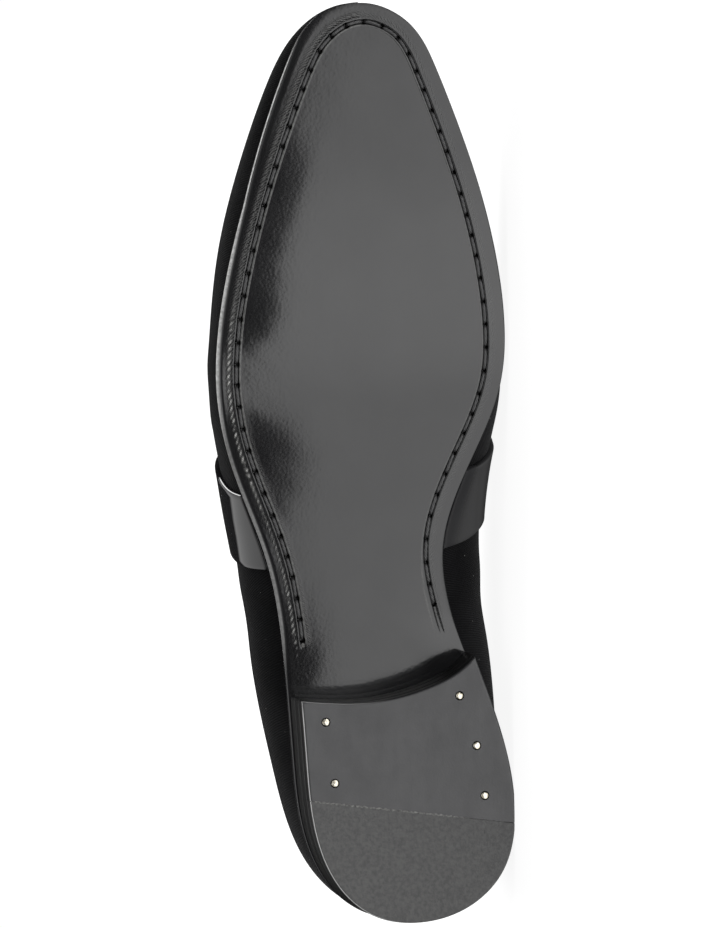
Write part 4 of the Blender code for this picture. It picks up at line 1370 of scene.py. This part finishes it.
def fillRing(ring, start, nextPoint, shares, height=None):  # a ladder of faces across a closed ring
    count, half = len(ring), len(ring) // 2
    inside = shares[1:-1]
    a, b = ring[1:half], ring[:half:-1]
    points = (a[:, None] + (b - a)[:, None] * inside[None, :, None]).reshape(-1, 3)
    if height:
        points[:, 2] = height(points, np.tile(inside, half - 1))
    rungs = []
    for i in range(1, half):
        first = nextPoint + (i - 1) * len(inside)
        rungs.append([start + i, *range(first, first + len(inside)), start + count - i])
    faces = []
    for near, far in zip(rungs, rungs[1:]):
        faces += [[near[k], far[k], far[k + 1], near[k + 1]] for k in range(len(near) - 1)]
    for tip, rung in ((start, rungs[0]), (start + half, rungs[-1])):
        faces += [[tip, rung[k], rung[k + 1]] for k in range(len(rung) - 1)]
    return points, faces


def fieldHeight(inside, share):
    return treadLevel(*inside.T[:2], edgeDistance(inside), fade(share, *sole["fieldTurn"]))


def topHeight(inside, _):
    return soleTop(inside[:, 0])


def buildSole():
    run = channelRun()
    border = edgeRows(run["foot"][:, 0], run["side"])
    rings = soleRings(run, border)
    marks, uv = soleMarks(run, rings, border)
    count = len(run["side"])
    points = np.concatenate(rings)
    faces = gridFaces(len(rings), count, closeColumns=True)
    even = np.linspace(0, 1, sole["fieldColumns"] + 1)
    crowded = even - sole["fieldCrowd"] * np.sin(2 * np.pi * even)
    fills = ((len(rings) - 1, crowded, fieldHeight), (0, np.linspace(0, 1, 3), topHeight))
    for ring, shares, height in fills:
        extra, more = fillRing(rings[ring], ring * count, len(points), shares, height)
        points = np.concatenate([points, extra])
        faces += more
    spare = len(points) - len(rings) * count
    marks = {name: np.concatenate([values.ravel(), np.zeros(spare)]) for name, values in marks.items()}
    uv = np.concatenate([uv.reshape(-1, 2), np.zeros((spare, 2))])
    addPiece("polishedOutsole", (points, faces, uv), "sole", ["outsole"], marks)
    print("outsole:", len(faces), "faces")
    return run


def waxKnot(place):  # waxed end of the thread, pressed flat
    points, faces, uv = turnedBar(np.array(sole["knotRows"]) * sole["knotRadius"])
    flat, dent, dents = sole["knotPress"]
    points[:, 1] *= flat + dent * np.sin(dents * np.arctan2(points[:, 1], points[:, 0]))
    return points + place, faces, uv


def buildStitches(run):
    path, gone = run["ring"][run["order"]], run["travel"][run["order"]]
    outerShare = run["outerShare"][run["order"]]
    tread = soleBottom(path[:, 0]) + marginCurl(path[:, 0], edgeDistance(path), outerShare)
    line = np.column_stack([path, tread])
    sides, holes = sole["stitchSides"], run["holes"]
    share = np.linspace(0, 1, sole["stitchSteps"] + 1)
    dive = np.abs(2 * share - 1)
    turn = fullTurn(sides)
    wide, high = sole["stitchOval"]
    bars = []
    for number, (start, end) in enumerate(zip(holes, holes[1:])):
        place = start + sole["stitchEnd"] + share * (end - start - 2 * sole["stitchEnd"])
        centre = alongPath(place, gone, line)
        across = unit(np.cross(unit(np.gradient(centre, axis=0)), upAxis))
        lean, sway = (size * math.sin(number * pace) for size, pace in sole["stitchWander"])
        wander = lean * (2 * share - 1) + sway
        sunk = sole["stitchSink"] + sole["stitchDive"] * dive**8
        centre = centre + upAxis * sunk[:, None] + across * wander[:, None]
        size = sole["stitchRadius"] * (1 - sole["stitchThinning"] * dive**4)
        twist = sole["plies"] * turn - 2 * np.pi * place[:, None] / sole["plyTurn"]
        ply = 1 + sole["plyDepth"] * np.cos(twist)
        points = tubePoints(centre, across * wide, upAxis * high, size[:, None] * ply)
        bars.append((points, tubeFaces(len(share), sides), gridUv(place / uvSize, turn / uvSize)))
    knot = waxKnot(alongPath(holes[0] - sole["knotAhead"], gone, line))
    # the wax end's pale colour is a painted glint
    addPiece("waxedEnd", knot, "dustAndGlint")
    addPiece("soleStitching", joinShapes(bars), "thread")
    print("sole stitching:", len(bars), "stitches")


buildStitches(buildSole())

# the heel's front edge from below: share of the ball width, millimetres from the heel's back
breastTable = (
    (-0.390, 76.4), (-0.250, 74.3), (-0.110, 73.5), (0.040, 75.4),
    (0.127, 77.8), (0.190, 80.5), (0.245, 84.3), (0.280, 87.6),
)
breastAcross, breastAlong = np.array(breastTable).T
breastCurve = spline(breastAcross * shoe["ballWidth"], breastAlong)

heel = {
    "setback": 0.4,
    "innerSpread": 0.65,
    "spreadPlace": (0.1, 0.5),
    "taper": 0.5,
    "topPiece": 5.2,
    "liftGap": 0.12,
    "seatGap": 0.05,
    "edgeRound": 0.45,
    "liftRound": 0.18,
    # inset and height of the lower rim, in shares of its rounding
    "lowRim": (
        (1.0, 0.0), (0.9, 0.04), (0.8, 0.15), (0.6, 0.47), (0.4, 0.78), (0.2, 1.1), (0.06, 1.3), (0.0, 1.6),
    ),
    "capInsets": (1.2, 0.5),
    "joint": ((43.7, -34.3), (30.0, 34.2)),
    "jointGap": 0.16,
    "jointBevel": 0.22,
    "sharpJoint": 50.0,
    "sideSteps": 56,
    "breastSteps": 30,
    "searched": (0.2, 0.4, 161),
    "nailRadius": 1.2,
    "nailHole": 1.48,
    "nailProud": 0.12,
    # shares of the radius, with heights in millimetres for the shank and shares of nailProud for the head
    "nailShank": ((1.0, 0.2), (0.96, 0.03)),
    "nailHead": ((0.86, 0.6), (0.5, 0.9), (0.2, 1.0)),
    "headBelow": 0.1,
    "headLean": (0.04, 2.6),
    "nickDepth": 0.3,
    "nickWidth": 0.38,
    "nailNicks": (5.6, 5.2, 0.6, 5.9, 0.4),
    "drillPast": 1.0,
    "drillSides": 32,
    "sharpHole": 40.0,
    "beadShares": (0.035, 0.94),
    "beadStep": 0.3,
    "beadWidth": 0.78,
    "beadProud": 0.07,
    "beadWorn": (0.62, 0.80),
    "beadLoss": 0.85,
    "beadRough": (190.0, 431.0, 1.0, 77.0),
    "beadLeast": (0.5, 0.4),
    "beadSway": (0.09, 260.0),
    # section across the line: share of its half width, then depth, where -1 is its top
    "beadSection": ((-1.0, 0.3), (-1.0, 0.0), (-0.4, -1.0), (0.4, -1.0), (1.0, 0.0), (1.0, 0.3)),
    "wallStart": (0.3, 0.6),
    "rimPlace": (0.28, 0.12),
    "rimSide": (2.0, 20.0),
    "rimAhead": (-3.0, -1.5),
    "rimLoss": 0.55,
}


def breastAt(across, back):  # the breast's place along the shoe, moved straight back by a margin
    step = 0.1
    slope = (breastCurve(across + step) - breastCurve(across - step)) / (2 * step)
    return breastCurve(across) - back * np.sqrt(1 + slope**2)


def heelLoop(inset, back):  # round the back from breast to breast, then along the breast
    searched = np.linspace(*heel["searched"])
    corner = {}
    for side in (1, -1):
        point, _ = edgeAt(side, searched, inset - heel["innerSpread"] * (side > 0))
        corner[side] = float(np.interp(0, point[:, 0] - breastAt(point[:, 1], back), searched))
    share = np.linspace(0, 1, heel["sideSteps"] + 1)
    outer, _ = edgeAt(-1, corner[-1] * share[:0:-1], inset)
    inner, _ = edgeAt(1, corner[1] * share, inset - heel["innerSpread"] * fade(share, *heel["spreadPlace"]))
    across = np.linspace(inner[-1, 1], outer[0, 1], heel["breastSteps"] + 2)[1:-1]
    return np.concatenate([outer, inner, np.column_stack([breastAt(across, back), across])])


def heelSlab(low, high, rounding):  # a closed slice with softened rims; low and high give heights along x
    caps = [rounding + inset for inset in heel["capInsets"]]
    levels = [(inset, low, 0.0) for inset in caps]
    levels += [(inset * rounding, low, lift * rounding) for inset, lift in heel["lowRim"]]
    levels += [(inset, high, -drop) for inset, drop in quarterRound(rounding)]
    levels += [(inset, high, 0.0) for inset in caps[::-1]]
    rings = []
    for inset, height, extra in levels:
        taper = heel["taper"] * (1 - height(np.zeros(1))[0] / shoe["heelHeight"])
        loop = heelLoop(heel["setback"] + taper + inset, inset)
        rings.append(np.column_stack([loop, height(loop[:, 0]) + extra]))
    return np.concatenate(rings), tubeFaces(len(rings), len(rings[0])), None


def level(value):
    return lambda along: np.full(len(along), value)


def underSeat(along):
    return soleBottom(along) - heel["seatGap"]


def jointLine():  # both ends of the straight joint in the tread, and the direction ahead of it
    start, end = (np.array([x, y, 0.0]) for x, y in heel["joint"])
    ahead = unit(np.cross(end - start, upAxis))
    return start, end, ahead


def cutHalf(piece, side):  # keeps the tread ahead of the joint for 1, or behind it for -1
    start, _, ahead = jointLine()
    place = toWorld([start + side * ahead * heel["jointGap"] / 2])[0]
    with editing(piece.data) as builder:
        cutter = {"plane_co": place, "plane_no": side * (lieTurn @ ahead), "clear_inner": True}
        everything = builder.verts[:] + builder.edges[:] + builder.faces[:]
        cut = bmesh.ops.bisect_plane(builder, geom=everything, **cutter)
        rim = [item for item in cut["geom_cut"] if isinstance(item, bmesh.types.BMEdge)]
        bmesh.ops.holes_fill(builder, edges=[line for line in builder.edges if line.is_boundary])
        bmesh.ops.recalc_face_normals(builder, faces=builder.faces)
        bevel = {"offset": heel["jointBevel"] * millimetre, "segments": 2, "clamp_overlap": True}
        bmesh.ops.bevel(builder, geom=[line for line in rim if line.is_valid], affect="EDGES", **bevel)
    piece.data.set_sharp_from_angle(angle=math.radians(heel["sharpJoint"]))


def nailBar(place, nick):  # a nail whose filed head leans a little and has a nick in its rim
    r, proud = heel["nailRadius"], heel["nailProud"]
    rows = [(r, heel["topPiece"])] + [(share * r, height) for share, height in heel["nailShank"]]
    rows += [(share * r, -rise * proud) for share, rise in heel["nailHead"]]
    points, faces, uv = turnedBar(rows)
    turn = np.arctan2(points[:, 1], points[:, 0]) - nick
    away = np.abs((turn + np.pi) % (2 * np.pi) - np.pi)
    head = points[:, 2] < heel["headBelow"]
    points[:, :2] *= (1 - heel["nickDepth"] * bell(away, 0.0, heel["nickWidth"]) * head)[:, None]
    lean, leanTurn = heel["headLean"]
    points[:, 2] -= lean * np.cos(turn + leanTurn) * np.hypot(points[:, 0], points[:, 1]) * head
    return points + (*place, 0.0), faces, uv


def buildJointLine():  # rough pale line of glue and buffing dust along the joint, worn away at its inner end
    start, end, across = jointLine()
    first, last = heel["beadShares"]
    share = np.arange(first, last, heel["beadStep"] / np.linalg.norm(end - start))
    even, quick, shift, slow = heel["beadRough"]
    rough = 0.5 + 0.25 * np.sin(share * even) + 0.25 * np.sin(share * quick + shift) * np.sin(share * slow)
    worn = 1 - heel["beadLoss"] * fade(share, *heel["beadWorn"])
    thin, flat = heel["beadLeast"]
    half = heel["beadWidth"] / 2 * upFrom(thin, rough) * worn
    proud = heel["beadProud"] * upFrom(flat, rough) * worn
    sway, pace = heel["beadSway"]
    middle = start + (end - start) * share[:, None] + across * (sway * np.sin(share * pace))[:, None]
    rows = []
    for place, depth in heel["beadSection"]:
        drop = np.where(depth < 0, -proud, depth)
        rows.append(middle + across * (place * half)[:, None] + upAxis * drop[:, None])
    ring = np.stack(rows, axis=1)
    shape = ring.reshape(-1, 3), tubeFaces(*ring.shape[:2]), None
    addPiece("jointLine", shape, "dustAndGlint")


def markWallsAndRimHighlight(piece):  # tells the heel's sides from its tread, and where the painted highlight lies along its outer rim
    spots = np.empty(len(piece.data.vertices) * 3)
    piece.data.vertices.foreach_get("co", spots)
    along, across, height = toShoe(spots.reshape(-1, 3)).T
    ahead = fade(along - breastCurve(across), *heel["rimAhead"])
    # painted highlight along the outer rim by the tread, weaker towards the breast
    rim = bell(height, *heel["rimPlace"]) * fade(-across, *heel["rimSide"]) * (1 - heel["rimLoss"] * ahead)
    addMarks(piece.data, {"wall": fade(height, *heel["wallStart"]), "rim": rim})


def drillNails(piece):
    ends = -heel["drillPast"], heel["topPiece"] + heel["drillPast"]
    bar = turnedBar([(heel["nailHole"], end) for end in ends], heel["drillSides"])
    bars = joinShapes([moved(bar, (*place, 0.0)) for place in nailPlaces])
    cutter = addPiece("nailDrill", bars, "heel")
    drill = piece.modifiers.new("nail holes", "BOOLEAN")
    drill.operation = "DIFFERENCE"
    drill.solver = "EXACT"
    drill.object = cutter
    bpy.context.view_layer.update()
    drilled = bpy.data.meshes.new_from_object(piece.evaluated_get(bpy.context.evaluated_depsgraph_get()))
    piece.modifiers.clear()
    piece.data = drilled
    bpy.data.objects.remove(cutter, do_unlink=True)
    drilled.shade_smooth()
    drilled.set_sharp_from_angle(angle=math.radians(heel["sharpHole"]))


def buildHeel():
    start = heel["topPiece"] + heel["liftGap"]
    middle = (start + shoe["heelHeight"]) / 2
    tread = level(0.0), level(heel["topPiece"]), heel["edgeRound"]
    slabs = {
        "heelLiftNearSole": ("heel_leather", "heel_lift_1", level(middle), underSeat, heel["liftRound"]),
        "heelLiftNearTread": (
            "heel_leather", "heel_lift_2", level(start), level(middle - heel["liftGap"]), heel["liftRound"],
        ),
        "treadLeather": ("heel_leather", "heel_top_piece", *tread),
        "treadRubber": ("heel_rubber", "heel_rubber_tip", *tread),
    }
    slabLooks = {"heel_leather": "heel", "heel_rubber": "rubber"}
    pieces = {}
    for name, (slotName, node, *form) in slabs.items():
        pieces[name] = addPiece(name, heelSlab(*form), slabLooks[slotName], [node])
    cutHalf(pieces["treadLeather"], 1)
    cutHalf(pieces["treadRubber"], -1)
    drillNails(pieces["treadLeather"])
    for piece in pieces.values():
        markWallsAndRimHighlight(piece)
    nails = joinShapes([nailBar(place, nick) for place, nick in zip(nailPlaces, heel["nailNicks"])])
    addPiece("heelNails", nails, "brass", [f"nail_{i + 1}" for i in range(len(nailPlaces))])
    buildJointLine()
    print("heel:", len(slabs), "slices and", len(nailPlaces), "nails")


buildHeel()

sock = {"inset": 4.2, "thickness": 2.5, "round": 0.9, "steps": 160, "crowd": 0.085, "low": (1.5, 0.0)}
# inset and drop of the rings that dish the sock
sockDish = ((4.0, 0.0), (9.0, 0.25))


def buildSock():  # leather sock on the insole, softly dished
    even = np.linspace(0, 1, sock["steps"] + 1)
    station, side = thereAndBack(even - sock["crowd"] * np.sin(2 * np.pi * even))
    high = shoe["gap"] + sock["thickness"]
    rows = [(inset, shoe["gap"]) for inset in sock["low"]]
    rows += [(inset, high - drop) for inset, drop in (*quarterRound(sock["round"]), *sockDish)]
    rings = []
    for inset, lift in rows:
        flat = ringAt(station, side, sock["inset"] + inset)
        rings.append(np.column_stack([flat, soleTop(flat[:, 0]) + lift]))
    count = len(station)
    faces = gridFaces(len(rings), count, closeColumns=True)
    for ring in (0, len(rings) - 1):
        faces += fillRing(rings[ring], ring * count, 0, np.array([0.0, 1.0]))[1]
    addPiece("insoleSock", (np.concatenate(rings), faces, None), "inner", ["insole"])
    print("insole sock:", len(faces), "faces")


buildSock()

# Studio: a wide pale floor that glows a little, light from overhead, a bright card low in front
studio = {
    # height of the direction, -1 straight down to 1 straight up, and the light that comes from there
    "frontLevels": (
        (-1.0, 0.50), (-0.80, 0.60), (-0.60, 2.08), (-0.205, 2.08),
        (-0.172, 0.02), (0.10, 0.02), (0.40, 0.55), (0.66, 0.8), (0.95, 0.8),
    ),
    "backLevels": (
        (-1.0, 0.60), (-0.94, 0.32), (-0.77, 0.16), (-0.50, 0.055), (-0.10, 0.02),
        (0.62, 0.025), (0.68, 0.8), (0.95, 0.8),
    ),
    "turnover": 0.15,
    "sideLight": ((0.0, 0.10, 1.0, 0.82), (0.35, 0.70, 1.0, 0.0)),
    "keyFrom": (0.80, 0.36, 0.48),
    "keyCosines": (0.988, 0.9955),
    "keyLight": 6.0,
    "floorTone": (0.20, 0.20, 0.20),
    "floorSurface": {
        "Roughness": 0.9, "Specular IOR Level": 0.0, "Emission Color": (1, 1, 1), "Emission Strength": 0.91,
    },
    "floorHalf": 80.0,
    "floorLevel": -0.0003,
    # a wide lamp behind the shoe shows the upper, which the photo hides
    "lampPlace": (0.0, 1.0, 0.9),
    "lampSize": 1.2,
    "lampPower": 24.0,
}


def addObject(name, data):
    made = bpy.data.objects.new(name, data)
    bpy.context.scene.collection.objects.link(made)
    return made


def levelRamp(tree, height, levels):
    ramp = addNode(tree, "ValToRGB", {0: height})
    brightest = max(light for _, light in levels)
    stops = ramp.color_ramp.elements
    while len(stops) < len(levels):
        stops.new(1.0)
    for stop, (z, light) in zip(stops, levels):
        stop.position = (z + 1) / 2
        stop.color = (light / brightest,) * 3 + (1,)
    return calculate(tree, "MULTIPLY", (ramp, 0), brightest)


def buildRoom():
    world = bpy.data.worlds.new("studioLight")
    bpy.context.scene.world = world
    world.use_nodes = True
    world.cycles.sampling_method = "NONE"
    tree = world.node_tree
    back = tree.nodes["Background"]
    feed(tree, back, "Color", (1, 1, 1))
    place = addNode(tree, "TexCoord"), "Generated"
    parts = addNode(tree, "SeparateXYZ", {0: place})
    height = stretch(tree, (parts, "Z"), -1, 1)
    front, behind = (levelRamp(tree, height, studio[name]) for name in ("frontLevels", "backLevels"))
    side = softStretch(tree, (parts, "Y"), -studio["turnover"], studio["turnover"])
    across = calculate(tree, "MULTIPLY", (parts, "X"), (parts, "X"))
    for loss in studio["sideLight"]:
        front = calculate(tree, "MULTIPLY", front, stretch(tree, across, *loss))
    light = addNode(tree, "Mix", {0: side, 2: front, 3: behind}), 0
    keyFrom = unit(np.array(studio["keyFrom"]))
    towards = addNode(tree, "VectorMath", {0: place, 1: keyFrom}, operation="DOT_PRODUCT"), "Value"
    key = softStretch(tree, towards, *studio["keyCosines"], 0, studio["keyLight"])
    lit = calculate(tree, "ADD", light, key)
    looking = addNode(tree, "LightPath"), "Is Camera Ray"
    seen = addNode(tree, "Mix", {0: looking, 2: lit, 3: 1.0}), 0  # the room itself looks white
    feed(tree, back, "Strength", seen)


def buildFloor():
    half = studio["floorHalf"]
    corners = [(x * half, y * half, studio["floorLevel"]) for x, y in ((-1, -1), (1, -1), (1, 1), (-1, 1))]
    mesh = bpy.data.meshes.new("paleFloor")
    mesh.from_pydata(corners, [], [(0, 1, 2, 3)])
    paint, _, _ = newMaterial("paleFloorPaint", studio["floorTone"], studio["floorSurface"])
    mesh.materials.append(paint)
    floor = addObject("paleFloor", mesh)
    floor.visible_glossy = False


def buildLamp():
    lamp = bpy.data.lights.new("backLamp", "AREA")
    lamp.size = studio["lampSize"]
    lamp.energy = studio["lampPower"]
    hung = addObject("backLamp", lamp)
    hung.location = studio["lampPlace"]
    hung.rotation_euler = Vector(studio["lampPlace"]).to_track_quat("Z", "Y").to_euler()
    hung.visible_glossy = False
    hung.visible_camera = False


buildRoom()
buildFloor()
buildLamp()
bpy.context.scene.view_settings.view_transform = "Standard"
print("studio ready")

view = {
    "outerTilt": 11.0,
    "toeTilt": 2.0,
    "roll": 4.1,
    "distance": 1200.0,
    "pixel": 0.3226,
    "photoHeight": 928,
    "aim": (150.0, -8.0, 6.0),
    "farthest": 400.0,
}


def buildCamera():
    a, b, c = (math.radians(view[name]) for name in ("outerTilt", "toeTilt", "roll"))
    look = np.array([-math.sin(b), math.sin(a) * math.cos(b), math.cos(a) * math.cos(b)])
    toe = unit(np.array([1.0, 0.0, 0.0]) - look * look[0])
    right = np.cross(toe, -look)
    up = math.cos(c) * toe + math.sin(c) * right
    right = math.cos(c) * right - math.sin(c) * toe
    turn = np.eye(4)
    turn[:3, :3] = lieTurn @ np.column_stack([right, up, -look])
    turn[:3, 3] = toWorld(np.array(view["aim"]) - view["distance"] * look)
    data = bpy.data.cameras.new("photoCamera")
    data.lens = data.sensor_width * view["distance"] / (view["photoHeight"] * view["pixel"])
    data.clip_end = view["farthest"]
    made = addObject("photoCamera", data)
    made.matrix_world = Matrix(turn.tolist())
    bpy.context.scene.camera = made
    print("camera", turn[:3, 3].round(3))


buildCamera()
